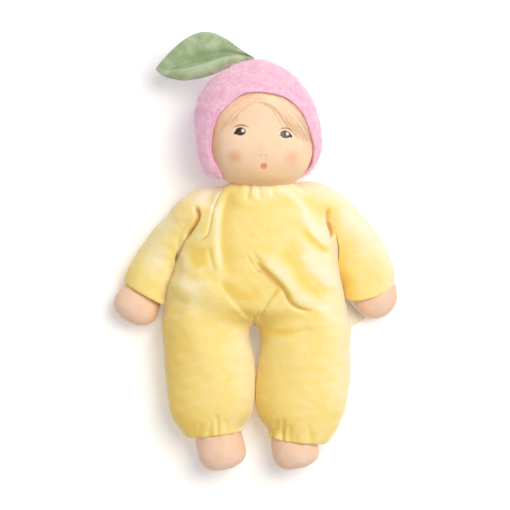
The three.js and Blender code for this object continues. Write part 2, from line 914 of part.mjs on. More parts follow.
// The suit's body with its wool and neckline.
function makeTorso() {
  const neckHoleRadius = neckRadius + 2 * (seamGap + threadRadius) + seamGap;
  const bore = (radius, from) =>
    headLathe([[0, from], [radius, from], [radius, 0], [0, 0]], neckSideCount);
  const neckHole = bore(neckHoleRadius, -chinHeight - neckTieBelow - 2 * threadRadius - seamGap);
  const rootHole = bore(neckRadius + seamGap, neckRootHeight - seamGap);
  const cuts = [legRoom(), armRoom(1), armRoom(-1), headRoom(), neckHole, rootHole];
  const trimmed = (solid) => cuts.reduce((rest, cut) => rest.subtract(cut), solid);
  const hemSpace = necklineHem(seamGap);
  const front = panel(torsoSections, velourWall, true, torsoSideCount);
  const back = panel(torsoSections, velourWall, false, torsoSideCount).subtract(underFloor);
  const fill = loft(torsoSections(-velourWall - seamGap), torsoSideCount);
  piece("suit_front", trimmed(front).subtract(hemSpace), velour);
  piece("suit_back", trimmed(back).subtract(hemSpace), velour);
  piece("body_wool", trimmed(fill).subtract(hemSpace), wool);
  piece("neckline_hem", necklineHem(0).subtract(headRoom()), velour);
}

makeTorso();
makeNeck();
makeHead();
makeLeaf();
for (const [name, side] of Object.entries(sides)) {
  makeArm(name, side);
  makeLeg(name, side);
}
makeLabel();

export default doll;
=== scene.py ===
"""The looks of a waldorf doll: a velour suit stuffed with wool, jersey skin, a wool hat and a leaf.

Sizes in the classes are millimetres and the meshes are metres. +Z comes up out of the belly, +Y
points to the head, and the doll's own left is +X. The doll lies on its back at Z 0.
"""

import logging
from dataclasses import dataclass, field, replace
from enum import Enum
from functools import cache
from typing import Any, Sequence

import bpy
import numpy as np
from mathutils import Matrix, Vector
from numpy.typing import NDArray


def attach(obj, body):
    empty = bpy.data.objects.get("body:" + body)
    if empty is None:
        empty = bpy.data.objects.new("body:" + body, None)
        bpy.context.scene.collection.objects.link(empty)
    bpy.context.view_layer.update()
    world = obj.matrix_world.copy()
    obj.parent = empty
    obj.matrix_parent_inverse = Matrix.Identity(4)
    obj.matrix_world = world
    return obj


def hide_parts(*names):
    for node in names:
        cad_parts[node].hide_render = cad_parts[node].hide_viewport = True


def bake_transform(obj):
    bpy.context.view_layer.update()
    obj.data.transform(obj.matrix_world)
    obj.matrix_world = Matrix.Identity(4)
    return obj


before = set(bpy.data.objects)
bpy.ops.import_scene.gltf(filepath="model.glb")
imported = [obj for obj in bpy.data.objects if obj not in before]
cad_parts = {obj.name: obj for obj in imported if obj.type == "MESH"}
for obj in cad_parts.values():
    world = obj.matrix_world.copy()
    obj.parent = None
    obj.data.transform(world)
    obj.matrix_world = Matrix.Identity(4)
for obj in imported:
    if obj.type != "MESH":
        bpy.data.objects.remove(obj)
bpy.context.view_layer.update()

Array = NDArray[np.float64]
Indices = NDArray[np.int64]
Stops = Sequence[tuple[float, float]]
Point2 = tuple[float, float]
Point3 = tuple[float, float, float]
Tree = bpy.types.NodeTree
Socket = bpy.types.NodeSocket

MM = 0.001
# How far the cloth lies off the ground, and the least that any point does.
GROUND_GAP = 0.3
LEAST_GAP = 0.15
UP = np.array([0.0, 0.0, 1.0])
log = logging.getLogger("doll")


class Side(Enum):
    """The doll's own sides, with the sign of X there."""

    LEFT = 1
    RIGHT = -1

    @property
    def word(self) -> str:
        """The side's name in lower case."""
        return self.name.lower()


def smoothstep(low: float, high: float, value: Array) -> Array:
    """Eases from 0 at low to 1 at high, as t squared times (3 - 2 t).

    Args:
        low: Where the result is 0.
        high: Where the result is 1.
        value: The places asked for.

    Returns:
        The eased shares.
    """
    t = np.clip((value - low) / (high - low), 0.0, 1.0)
    return t * t * (3.0 - 2.0 * t)


def through(stops: Stops, places: Array) -> Array:
    """A curve through stops that never swings past them.

    The slope at each stop is the weighted harmonic mean of the slopes on both sides, or 0 where
    they differ in sign, and each span is the cubic with those slopes at its ends.

    Args:
        stops: Pairs of a place and the value there, in rising places.
        places: Where the curve is read.

    Returns:
        The values at the places.
    """
    x, y = np.array(stops, float).T
    step = np.diff(x)
    secant = np.diff(y) / step
    slope = np.concatenate([secant[:1], np.zeros(len(x) - 2), secant[-1:]])
    same = secant[:-1] * secant[1:] > 0
    before, after = 2 * step[1:] + step[:-1], step[1:] + 2 * step[:-1]
    inner = (before + after)[same] / (before[same] / secant[:-1][same] + after[same] / secant[1:][same])
    slope[1:-1][same] = inner
    k = np.clip(np.searchsorted(x, places, side="right") - 1, 0, len(step) - 1)
    t = np.clip((places - x[k]) / step[k], 0.0, 1.0)
    low = (1 + 2 * t) * (1 - t) ** 2 * y[k] + t * (1 - t) ** 2 * step[k] * slope[k]
    high = t * t * (3 - 2 * t) * y[k + 1] + t * t * (t - 1) * step[k] * slope[k + 1]
    return low + high


def curve_through(points: Any, places: Array) -> Array:
    """A smooth curve through points, read at shares of its chord length.

    Args:
        points: The points, in order.
        places: Shares from 0 to 1.

    Returns:
        One point for each share, from the cubic between each pair of points.
    """
    points = np.asarray(points, float)
    chord = np.linalg.norm(np.diff(points, axis=0), axis=1)
    u = np.concatenate([[0.0], np.cumsum(chord)]) / chord.sum()
    slope = np.gradient(points, u, axis=0)
    k = np.clip(np.searchsorted(u, places, side="right") - 1, 0, len(chord) - 1)
    step = (u[k + 1] - u[k])[:, None]
    t = np.clip((places - u[k])[:, None] / step, 0.0, 1.0)
    low = (1 + 2 * t) * (1 - t) ** 2 * points[k] + t * (1 - t) ** 2 * step * slope[k]
    high = t * t * (3 - 2 * t) * points[k + 1] + t * t * (t - 1) * step * slope[k + 1]
    return low + high


def unit(vectors: Array) -> Array:
    """Vectors of length 1 in the same directions."""
    return vectors / np.maximum(np.linalg.norm(vectors, axis=-1, keepdims=True), 1e-12)


def turned(points: Array, pivot: Array, angles: Array) -> Array:
    """Points turned about an upright axis, each by its own angle.

    Args:
        points: The points.
        pivot: A point on the axis.
        angles: Radians, anticlockwise as seen from above.

    Returns:
        The turned points.
    """
    away = points - pivot
    cosine, sine = np.cos(angles), np.sin(angles)
    x = away[:, 0] * cosine - away[:, 1] * sine
    y = away[:, 0] * sine + away[:, 1] * cosine
    return np.column_stack([x, y, away[:, 2]]) + pivot


def on_the_ground(points: Array, sink: float = 1.2) -> Array:
    """Presses what lies below the ground flat, with a soft bend.

    The height z above the gap becomes half of (z + the root of (z squared + sink squared) - sink).

    Args:
        points: The points.
        sink: How soft the bend is.

    Returns:
        The points with the new heights.
    """
    pressed = points.copy()
    height = points[:, 2] - GROUND_GAP
    height = GROUND_GAP + (height + np.sqrt(height**2 + sink**2)) / 2 - sink / 2
    pressed[:, 2] = np.maximum(height, LEAST_GAP)
    return pressed


@dataclass
class Surface:
    """A mesh in millimetres: points, four-sided and three-sided faces, and UVs at the corners."""

    points: Array
    quads: Indices
    triangles: Indices = field(default_factory=lambda: np.zeros((0, 3), int))
    corner_uvs: Array | None = None

    @classmethod
    def grid(cls, rows: Array, start: Array, end: Array) -> "Surface":
        """A surface on rows of points that close on themselves.

        Args:
            rows: Rows by columns by 3.
            start: The pole that closes the first row.
            end: The pole that closes the last row.

        Returns:
            The surface, with U round the rows and V along them.
        """
        count, columns = rows.shape[:2]
        around = np.arange(columns)
        i, k = (axis.ravel() for axis in np.meshgrid(np.arange(count - 1), around, indexing="ij"))
        corners = ((i, k), (i, k + 1), (i + 1, k + 1), (i + 1, k))
        quads = np.column_stack([row * columns + column % columns for row, column in corners])
        uvs = [np.stack([np.column_stack([column, row]) for row, column in corners], axis=1)]
        fans = []
        ends = ((count * columns, 0, (0.5, 1, 0)), (count * columns + 1, count - 1, (0.5, 0, 1)))
        for tip, row, shifts in ends:
            pair = [row * columns + (around + shift) % columns for shift in shifts[1:]]
            fans.append(np.column_stack([np.full(columns, tip), *pair]))
            flat = [np.column_stack([around + shift, np.full(columns, row)]) for shift in shifts]
            uvs.append(np.stack(flat, axis=1))
        shares = np.vstack([uv.reshape(-1, 2) for uv in uvs]) / np.array([columns, count - 1], float)
        return cls(np.vstack([rows.reshape(-1, 3), start, end]), quads, np.vstack(fans), shares).outward()

    @classmethod
    def joined(cls, parts: Sequence["Surface"]) -> "Surface":
        """Several surfaces as one, with no points merged and no UVs.

        Args:
            parts: The surfaces.

        Returns:
            The one surface.
        """
        starts = np.cumsum([0] + [len(part.points) for part in parts[:-1]])
        return cls(
            np.vstack([part.points for part in parts]),
            np.vstack([part.quads + at for part, at in zip(parts, starts)]),
            np.vstack([part.triangles + at for part, at in zip(parts, starts)]),
        )

    def outward(self) -> "Surface":
        """The surface with its faces turned so that they point out of what it encloses.

        The volume that the faces enclose is positive where they point out.

        Returns:
            The surface itself or, where its volume is negative, one with its faces reversed.
        """
        halves = [self.quads[:, [0, 1, 2]], self.quads[:, [0, 2, 3]], self.triangles]
        a, b, c = np.moveaxis(self.points[np.vstack(halves)], 1, 0)
        if np.einsum("ij,ij->", a, np.cross(b, c)) >= 0:
            return self
        uvs = self.corner_uvs
        if uvs is not None:
            split = len(self.quads) * 4
            four = uvs[:split].reshape(-1, 4, 2)[:, ::-1].reshape(-1, 2)
            three = uvs[split:].reshape(-1, 3, 2)[:, ::-1].reshape(-1, 2)
            uvs = np.vstack([four, three])
        return Surface(self.points, self.quads[:, ::-1], self.triangles[:, ::-1], uvs)

    def normals(self) -> Array:
        """Unit normals at the points, each the mean of its faces' normals by area.

        Returns:
            A normal for each point.
        """
        a, b, c, d = np.moveaxis(self.points[self.quads], 1, 0)
        faces = [(self.quads, np.cross(c - a, d - b))]
        if len(self.triangles):
            e, f, g = np.moveaxis(self.points[self.triangles], 1, 0)
            faces.append((self.triangles, np.cross(f - e, g - e)))
        total = np.zeros_like(self.points)
        for corners, normal in faces:
            for column in corners.T:
                for axis in range(3):
                    total[:, axis] += np.bincount(column, normal[:, axis], len(self.points))
        return unit(total)

    def object(self, name: str) -> bpy.types.Object:
        """A Blender object of this surface, in metres, with smooth shading.

        Args:
            name: The object's name.

        Returns:
            The object, linked to the scene.
        """
        mesh = bpy.data.meshes.new(name)
        corners = np.concatenate([self.quads.ravel(), self.triangles.ravel()])
        totals = np.repeat([4, 3], [len(self.quads), len(self.triangles)])
        starts = np.concatenate([[0], np.cumsum(totals)[:-1]])
        mesh.vertices.add(len(self.points))
        mesh.vertices.foreach_set("co", (self.points * MM).astype(np.float32).ravel())
        mesh.loops.add(len(corners))
        mesh.loops.foreach_set("vertex_index", corners.astype(np.int32))
        mesh.polygons.add(len(totals))
        mesh.polygons.foreach_set("loop_start", starts.astype(np.int32))
        mesh.polygons.foreach_set("use_smooth", np.ones(len(totals), bool))
        mesh.update(calc_edges=True)
        if self.corner_uvs is not None:
            layer = mesh.uv_layers.new(name="cloth")
            layer.uv.foreach_set("vector", self.corner_uvs.astype(np.float32).ravel())
        mesh.validate()
        made = bpy.data.objects.new(name, mesh)
        bpy.context.scene.collection.objects.link(made)
        return made


def read_back(made: bpy.types.Object) -> Surface:
    """The surface of an object of four-sided faces after its modifiers, in millimetres.

    Args:
        made: The object.

    Returns:
        Its surface.
    """
    finished = made.evaluated_get(bpy.context.evaluated_depsgraph_get())
    mesh = finished.to_mesh()
    points = np.zeros(len(mesh.vertices) * 3, np.float32)
    mesh.vertices.foreach_get("co", points)
    corners = np.zeros(len(mesh.loops), np.int32)
    mesh.loops.foreach_get("vertex_index", corners)
    quads = corners.reshape(-1, 4).astype(int)
    finished.to_mesh_clear()
    return Surface(points.reshape(-1, 3).astype(float) / MM, quads)


def discard(made: bpy.types.Object) -> None:
    """Removes an object that was only needed on the way.

    Args:
        made: The object.
    """
    mesh = made.data
    bpy.data.objects.remove(made)
    bpy.data.meshes.remove(mesh)


@dataclass
class Stations:
    """Sections of a stuffed form along its spine, each an ellipse that may be squarer."""

    centres: Array
    across: Array
    half_widths: Array
    half_depths: Array
    squareness: float = 2.0

    def surface(self, columns: int = 72) -> Surface:
        """The closed form through the sections.

        A section's point lies at its half width times the cosine across and its half depth times
        the sine up, each raised to 2 over the squareness.

        Args:
            columns: Points round a section.

        Returns:
            The surface, closed by a pole at each end.
        """
        turn = 2 * np.pi * np.arange(columns) / columns
        bend = lambda value: np.sign(value) * np.abs(value) ** (2 / self.squareness)
        wide = self.half_widths[:, None] * bend(np.cos(turn))[None]
        deep = self.half_depths[:, None] * bend(np.sin(turn))[None]
        rows = self.centres[:, None] + self.across[:, None] * wide[..., None] + UP * deep[..., None]
        return Surface.grid(rows, self.centres[0], self.centres[-1])


@dataclass(frozen=True)
class Limb:
    """A sleeve or trouser leg of the suit, along a spine seen from above.

    The half widths, half depths and heights are stops on shares of the spine.
    """

    side: Side
    spine: tuple[Point2, ...]
    half_widths: Stops
    half_depths: Stops
    heights: Stops
    hem_centre: Point2
    hem_heading: Point2
    squareness: float = 2.0
    rings: int = 56
    overrun: float = 17.0
    hem_rounding: float = 1.3
    hem_droop: float = 0.0

    def line(self, shares: Array) -> Array:
        """Points on the spine at shares of its length."""
        flat = curve_through(self.spine, shares)
        return np.column_stack([flat, through(self.heights, shares)])

    def length(self) -> float:
        """The spine's length as seen from above."""
        flat = curve_through(self.spine, np.linspace(0, 1, self.rings))
        return float(np.linalg.norm(np.diff(flat, axis=0), axis=1).sum())

    def stations(self) -> Stations:
        """Sections from a rounded start inside the body to past the hem.

        Returns:
            The sections, in order.
        """
        shares = np.linspace(0, 1, self.rings)
        centres = self.line(shares)
        flat = np.gradient(centres, axis=0) * np.array([1, 1, 0])
        heading = unit(flat)
        wide, deep = through(self.half_widths, shares), through(self.half_depths, shares)
        cap = np.sin(np.linspace(0.15, 0.95, 9) * np.pi / 2)
        back = -wide[0] * np.sqrt(1 - cap**2)
        start = centres[0] + heading[0] * back[:, None]
        beyond = np.linspace(0, self.overrun, 8)[1:]
        end = centres[-1] + heading[-1] * beyond[:, None]
        repeat = lambda values, k, n: np.repeat(values[k][None], n, axis=0)
        heading = np.vstack([repeat(heading, 0, 9), heading, repeat(heading, -1, 7)])
        return Stations(
            np.vstack([start, centres, end]),
            np.cross(UP, heading),
            np.concatenate([wide[0] * cap, wide, np.full(7, wide[-1])]),
            np.concatenate([deep[0] * cap, deep, np.full(7, deep[-1])]),
            self.squareness,
        )

    def nearest(self, points: Array) -> tuple[Array, Array]:
        """Where points lie along the spine and how far out of the limb they are.

        Args:
            points: The points.

        Returns:
            The millimetres along the spine, and the distance from it as a share of the section's
            own radius, which is 1 on the limb's surface.
        """
        shares = np.linspace(0, 1, 160)
        spine = self.line(shares)
        flat = points[:, :2]
        square = (
            (flat**2).sum(1)[:, None] + (spine[:, :2] ** 2).sum(1)[None] - 2 * flat @ spine[:, :2].T
        )
        k = np.argmin(square, axis=1)
        heading = unit(np.gradient(spine, axis=0) * np.array([1, 1, 0]))
        away = points - spine[k]
        further = np.einsum("ij,ij->i", away, heading[k])
        step = self.length() / (len(shares) - 1)
        along = k * step + np.clip(further, -step, step)
        end = (k == 0) | (k == len(shares) - 1)
        along = np.where(end, k * step + further, along)
        sideways = np.einsum("ij,ij->i", away, np.cross(UP, heading)[k])
        wide = through(self.half_widths, shares)[k]
        deep = through(self.half_depths, shares)[k]
        beyond = np.maximum(-along, 0) / wide
        out = np.sqrt((sideways / wide) ** 2 + (away[:, 2] / deep) ** 2 + beyond**2)
        return along, out

    def hem_turned_in(self, points: Array, mine: Array) -> Array:
        """Turns the cloth past the hem back inside, so that the limb ends in an open hem.

        The cloth goes round a half circle of the rounding's radius, which ends at the hem's plane,
        and then back inside by 8 (1 - exp(-distance / 5)).

        Args:
            points: The points.
            mine: Whether each point is this limb's.

        Returns:
            The points, with those past the hem turned in.
        """
        centre = np.array([*self.hem_centre, float(through(self.heights, np.array([1.0]))[0])])
        heading = unit(np.array([*self.hem_heading, -self.hem_droop]))
        level = unit(np.array([*self.hem_heading, 0.0]))
        past = (points - centre) @ heading
        edge = mine & (past > -self.hem_rounding)
        past = past[edge] + self.hem_rounding
        swing = np.minimum(past / self.hem_rounding, np.pi)
        inside = past - np.pi * self.hem_rounding
        depth = np.where(inside > 0, 8 * (1 - np.exp(-inside / 5)), 0.0)
        forward = self.hem_rounding * np.sin(swing) - past
        moved = points[edge] + heading * forward[:, None] - level * depth[:, None]
        axis = centre + level * ((moved - centre) @ level)[:, None]
        out = moved - axis
        radius = np.linalg.norm(out, axis=1)
        inset = np.minimum(self.hem_rounding * (1 - np.cos(swing)) + 0.25 * depth, radius * 0.9)
        turned_in = points.copy()
        turned_in[edge] = axis + out * (1 - inset / np.maximum(radius, 1e-6))[:, None]
        return turned_in


# The camera sees the suit's front, which is nearer to it, this much further from the middle.
SEEN_FRONT = 0.985


@dataclass(frozen=True)
class Fold:
    """A ridge or, where its height is negative, a crease in the suit's front.

    The widths are those of its slopes on the left and on the right of the path.
    """

    name: str
    height: float
    widths: Point2
    path: tuple[Point2, ...]

    def rise(self, flat: Array) -> Array:
        """How far the fold lifts the cloth at points seen from above.

        The lift is the height times exp(-(distance / width) squared), and fades to nothing over
        the first and last fifth of the path.

        Args:
            flat: The points, as X and Y.

        Returns:
            The lift at each point.
        """
        line = curve_through(self.path, np.linspace(0, 1, 48)) * SEEN_FRONT
        lift = np.zeros(len(flat))
        room = 3 * max(self.widths)
        near = np.all((flat > line.min(0) - room) & (flat < line.max(0) + room), axis=1)
        start, along = line[:-1], np.diff(line, axis=0)
        away = flat[near][:, None] - start[None]
        t = np.clip((away * along).sum(2) / (along**2).sum(1), 0, 1)
        apart = away - along * t[..., None]
        square = (apart**2).sum(2)
        k = square.argmin(1)
        row = np.arange(len(k))
        place = (k + t[row, k]) / len(along)
        left = along[k, 0] * apart[row, k, 1] - along[k, 1] * apart[row, k, 0] > 0
        width = np.where(left, *self.widths)
        fade = smoothstep(-0.02, 0.2, place) * smoothstep(1.02, 0.8, place)
        lift[near] = self.height * fade * np.exp(-square[row, k] / width**2)
        return lift


@dataclass(frozen=True)
class Swelling:
    """A rounded rise or, where its height is negative, a hollow."""

    centre: Point2
    half_width: float
    half_length: float
    height: float

    def rise(self, flat: Array) -> Array:
        """The lift at points seen from above, the height times exp(-distance squared)."""
        away = (flat - np.array(self.centre)) / np.array([self.half_width, self.half_length])
        return self.height * np.exp(-(away**2).sum(1))


FOLDS = (
    Fold("raglan seam", -1.2, (0.8, 0.9), (
        (-19.5, 49.5), (-24, 42), (-27, 36), (-29, 29.5), (-30.5, 22), (-32, 15.5), (-34.5, 11.5), (-39, 9),
    )),
    Fold("band beside it", 0.7, (3.2, 4.0), (
        (-19, 47), (-24, 39.5), (-27, 30), (-27.8, 19), (-28, 8), (-27, -3), (-25.4, -12),
    )),
    Fold("belly's right edge", -1.8, (9.0, 1.5), (
        (-15.5, 44), (-20, 37), (-22.6, 28), (-23.6, 16), (-23.4, 4), (-22.2, -6), (-23, -16),
    )),
    Fold("under the band", -0.8, (1.0, 2.0), ((-31, 6), (-30.2, -1), (-28.8, -7), (-27.6, -12))),
    Fold("armhole right", -3.0, (1.0, 1.8), (
        (-41.5, 34.5), (-39.4, 31), (-38.5, 26.5), (-40, 22.2), (-43.8, 17.2), (-48.5, 10.2),
    )),
    Fold("sleeve's inner edge", -1.3, (1.0, 1.1), (
        (-41, 21), (-45, 15.4), (-48.5, 10), (-51.3, 4.8), (-53.2, -0.5), (-54.4, -6),
    )),
    Fold("puff", 0.9, (4.0, 3.0), ((-50, 3), (-48.5, -5), (-43, -11), (-34, -13))),
    Fold("thigh top", 1.2, (5.0, 8.0), ((-58, -17), (-51, -22.5), (-43, -24.5), (-34, -23), (-27, -19))),
    Fold("under the thigh top", -0.5, (1.2, 3.0), ((-57, -20), (-55, -27), (-50, -31.5), (-44, -33.5))),
    Fold("groin ridge right", 0.5, (3.5, 15.0), ((-30, -18), (-22.3, -28), (-15.8, -35.5), (-7, -45.5))),
    Fold("groin right", -0.9, (4.5, 1.2), (
        (-25.5, -16), (-20, -25.5), (-14.6, -32.4), (-8.8, -38.4), (-1.5, -46),
    )),
    Fold("groin left", -1.2, (1.0, 1.3), (
        (1.2, -46.5), (4, -42), (7, -36.5), (10, -31.5), (13, -27), (16, -23),
    )),
    Fold("groin twin", -0.4, (1.0, 1.2), ((1.2, -34), (1.6, -39), (1, -44))),
    Fold("belly fold", -1.7, (0.9, 1.4), (
        (-2, -2), (2.5, -7), (7.5, -11.5), (13, -16.8), (18, -22), (21.3, -27), (23.6, -32), (27, -35.6),
        (32, -37.4), (40, -38.6),
    )),
    Fold("belly line 1", -0.9, (0.7, 0.9), ((-6, 1), (-3.5, -4), (0, -9), (5, -13))),
    Fold("belly line 2", -0.5, (0.8, 0.9), ((-2, 3), (1, -1.5), (5, -5))),
    Fold("belly ridge", 1.7, (7.0, 1.9), (
        (2, 2), (7.5, -7), (14, -12.8), (20, -19.2), (24.4, -25.5), (27.3, -31), (32, -34.4), (42, -36.4),
    )),
    Fold("hip valley", -1.1, (4.0, 5.0), (
        (18, 7), (26.5, -4), (31.5, -12.5), (38.5, -20), (47, -25.5), (57, -29.5),
    )),
    Fold("hip ridge", 0.8, (6.5, 5.5), ((25, 14), (36, 1), (45, -9.5), (55, -20))),
    Fold("thigh valley left", -0.8, (2.6, 4.0), ((3, -52), (14, -53.5), (28, -53.5), (40, -50))),
    Fold("shoulder valley", -1.4, (5.0, 2.4), (
        (17, 48), (26.5, 42.5), (32.5, 37), (37, 30), (40.5, 23.5), (45, 15.5),
    )),
    Fold("shoulder ridge", 1.2, (3.0, 7.0), (
        (14, 46.5), (23.5, 40.5), (31, 32.5), (36.5, 23.5), (42.5, 14.5), (48.5, 7.5), (54.5, 0.5),
    )),
    Fold("flank valley", -1.2, (1.8, 3.8), ((32, 18.5), (36.8, 11.5), (41.5, 6.8), (46, 3.3), (52.5, 1))),
    Fold("armpit left", -2.8, (1.7, 1.0), ((50, 33), (49.6, 27), (50.6, 21), (52.6, 15.5), (53.2, 10.5))),
    Fold("gather 1", -0.8, (1.1, 1.8), ((-3.4, 51), (-4.2, 43), (-5.4, 36.5))),
    Fold("gather 2", -0.9, (1.1, 2.0), ((3.4, 51), (3.8, 43.5), (3.9, 37))),
    Fold("gather 3", -0.6, (1.2, 2.2), ((9.5, 51), (11.4, 44), (13.2, 39))),
    Fold("gather 4", -0.4, (1.2, 2.0), ((-9.5, 51), (-11.5, 45), (-13.5, 40.5))),
    Fold("gather 5", -0.5, (1.2, 2.2), ((15.5, 50), (18.5, 44.5), (21.5, 40))),
    Fold("crotch", -1.4, (1.2, 1.2), ((-1.2, -41), (-1.0, -45), (-0.9, -52))),
    Fold("right hem 1", -0.5, (1.4, 2.2), ((-39, -128), (-38.4, -121), (-37.4, -114.5))),
    Fold("right hem 2", -0.8, (1.1, 1.9), ((-32.6, -128), (-31.4, -120), (-29.6, -112.5))),
    Fold("right hem 3", -1.3, (1.0, 1.8), ((-25.8, -127), (-26.0, -118), (-27.0, -109))),
    Fold("right hem 4", -0.7, (1.2, 2.2), ((-18.8, -126), (-19.8, -118), (-21.6, -112))),
    Fold("left hem 1", -1.0, (1.2, 2.0), ((10.6, -128), (12.8, -120), (16, -112.5))),
    Fold("left hem 2", -1.3, (1.1, 2.0), ((18.6, -130), (18.2, -121), (19.4, -111))),
    Fold("left hem 3", -0.9, (1.1, 1.9), ((23.8, -131), (23, -123), (24.0, -115.5))),
    Fold("left hem 4", -0.6, (1.3, 2.4), ((38.8, -132), (37.6, -124), (36.2, -115.5))),
)

SWELLINGS = (
    Swelling((-37.8, -0.6), 6.4, 5.6, -0.7),
    Swelling((4.8, 12.0), 14.0, 18.0, 0.8),
    Swelling((-51.0, -21.0), 12.0, 10.0, 2.4),
)

# Painted shade where little light gets in between folds, given as the depth in millimetres that looks the
# same.
SHADES = (
    Fold("belly fold", -1.8, (0.8, 1.8), (
        (-4, -4), (2.5, -7.4), (7.5, -11.9), (13, -17.2), (18, -22.4), (21.3, -27.4), (23.4, -32.2),
        (28, -36.6),
    )),
    Fold("below the belly fold", -1.7, (1.0, 5.0), (
        (-2, -8), (6, -13), (12, -18.5), (16.5, -24), (18, -31),
    )),
    Fold("above the belly fold", -1.3, (4.0, 4.0), ((-8, 6), (-2, 2), (2, -5))),
    Fold("groin left", -1.4, (0.8, 1.2), ((2, -45), (6, -38.5), (10, -32), (15, -26))),
    Fold("seam's end", -2.2, (0.9, 1.1), ((-32.5, 14), (-34.5, 11.5), (-39, 9))),
    Fold("armhole's top", -1.6, (1.2, 2.6), ((-42, 35), (-39.3, 30.5), (-38.8, 26), (-42, 19))),
    Fold("sleeve's inner edge", -1.9, (0.8, 0.9), (
        (-42.6, 19), (-46, 13.8), (-49.2, 8.8), (-51.8, 3.6), (-53.4, -2), (-54.6, -8),
    )),
    Fold("under the puff", -1.6, (1.0, 1.4), ((-53.6, 1), (-53.4, -6), (-51.6, -10))),
    Fold("armpit left", -1.6, (2.0, 1.2), ((50.5, 24), (52.6, 17), (53, 10), (54, 3))),
)

# Painted highlight where the height is positive, which makes the velour pale, and painted shade where it is
# negative, which makes it golden.
PAINTED_LIGHT_AND_SHADE = (
    Swelling((-44.0, -20.0), 14.0, 7.0, 0.5),
    Swelling((-41.0, -31.0), 15.0, 9.0, 0.7),
    Swelling((-47.5, -6.0), 4.5, 9.0, 0.65),
    Swelling((-36.0, 13.0), 6.0, 6.0, 0.35),
    Swelling((-33.0, 38.0), 9.0, 7.0, 0.5),
    Swelling((-38.5, -2.0), 5.5, 6.5, -0.9),
    Swelling((-50.0, 8.0), 6.0, 8.0, 0.35),
    Swelling((-56.0, 24.0), 12.0, 10.0, 0.6),
    Swelling((-67.0, 1.0), 11.0, 17.0, 0.75),
    Swelling((60.0, 20.0), 10.0, 9.0, 0.5),
    Swelling((73.0, 4.0), 9.0, 16.0, 0.4),
    Swelling((-14.0, 43.0), 4.5, 3.0, -0.45),
    Swelling((4.0, 42.0), 14.0, 5.0, 0.45),
    Swelling((12.0, -64.0), 7.0, 20.0, 0.25),
    Swelling((5.0, -33.0), 14.0, 6.0, 0.2),
    Fold("band", 0.35, (2.6, 2.8), (
        (-20, 49), (-25, 37), (-27, 25), (-27.4, 12), (-26.4, 0), (-24.5, -16),
    )),
    Fold("beside the band", -0.3, (5.0, 3.0), (
        (-17, 40), (-19.5, 25), (-19.5, 8), (-17.5, -8), (-14, -20),
    )),
    Fold("below the belly", -0.5, (4.0, 4.0), ((-24, -18), (-15, -26), (-4, -27), (7, -26))),
    Fold("fold's shoulder", 0.45, (5.0, 2.6), (
        (5, 1), (12, -8.5), (20, -16), (26, -25), (31, -30.5), (42, -35), (54, -41),
    )),
    Fold("hip valley", -0.75, (3.4, 3.4), (
        (16, 6), (23, -3), (28, -10.5), (33, -18), (40, -24), (51, -28.5),
    )),
    Fold("hip", 0.5, (6.0, 6.0), ((31, 6), (40, -8), (50, -17), (58, -22))),
    Fold("flank", -0.6, (2.4, 3.0), ((32, 18), (37, 11), (43, 6), (50, 3))),
    Fold("shoulder", 0.45, (3.0, 4.0), ((32, 32), (38, 22), (44, 13), (49, 7))),
    Fold("thigh valley", -0.4, (3.0, 3.0), ((3, -52), (14, -53.5), (28, -53))),
)


ARM_DEPTHS = ((0, 14.5), (0.2, 15.6), (0.5, 15.8), (0.8, 15.3), (1, 14.6))
ARM_HEIGHTS = ((0, 27.0), (0.2, 25.0), (0.5, 18.5), (0.75, 14.4), (1, 14.0))
LEG_DEPTHS = (
    (0, 22.4), (0.12, 23.9), (0.3, 23.4), (0.5, 22.7), (0.75, 22.0), (0.88, 19.5), (0.95, 17.2), (1, 16.0),
)
LEG_HEIGHTS = ((0, 22.6), (0.3, 22.4), (1, 22.3))

ARMS = (
    Limb(
        Side.LEFT,
        (
            (30, 37), (38, 37.4), (45.6, 34.4), (52.0, 28.8), (59.0, 19.7), (66.2, 10.2), (71.4, 1.1),
            (75.6, -7.0), (78.4, -12.9), (79.2, -23.5),
        ),
        (
            (0, 12.0), (0.094, 13.0), (0.19, 13.2), (0.286, 14.4), (0.42, 16.7), (0.567, 17.8),
            (0.69, 18.8), (0.8, 18.8), (0.874, 17.7), (1, 16.4),
        ),
        ARM_DEPTHS,
        ARM_HEIGHTS,
        (79.0, -23.4),
        (0.26, -0.965),
        hem_droop=0.36,
    ),
    Limb(
        Side.RIGHT,
        (
            (-24, 34), (-31.5, 33.6), (-40, 28.7), (-47.9, 20.7), (-55.4, 10.6), (-63.0, 0.4),
            (-68.9, -8.2), (-73.2, -17), (-75, -26.5),
        ),
        (
            (0, 12.0), (0.09, 13.4), (0.21, 14.4), (0.35, 15.0), (0.5, 15.9), (0.66, 16.2),
            (0.775, 16.1), (0.89, 16.5), (1, 17.0),
        ),
        ARM_DEPTHS,
        ARM_HEIGHTS,
        (-74.8, -26.2),
        (-0.475, -0.88),
        hem_droop=0.1,
    ),
)
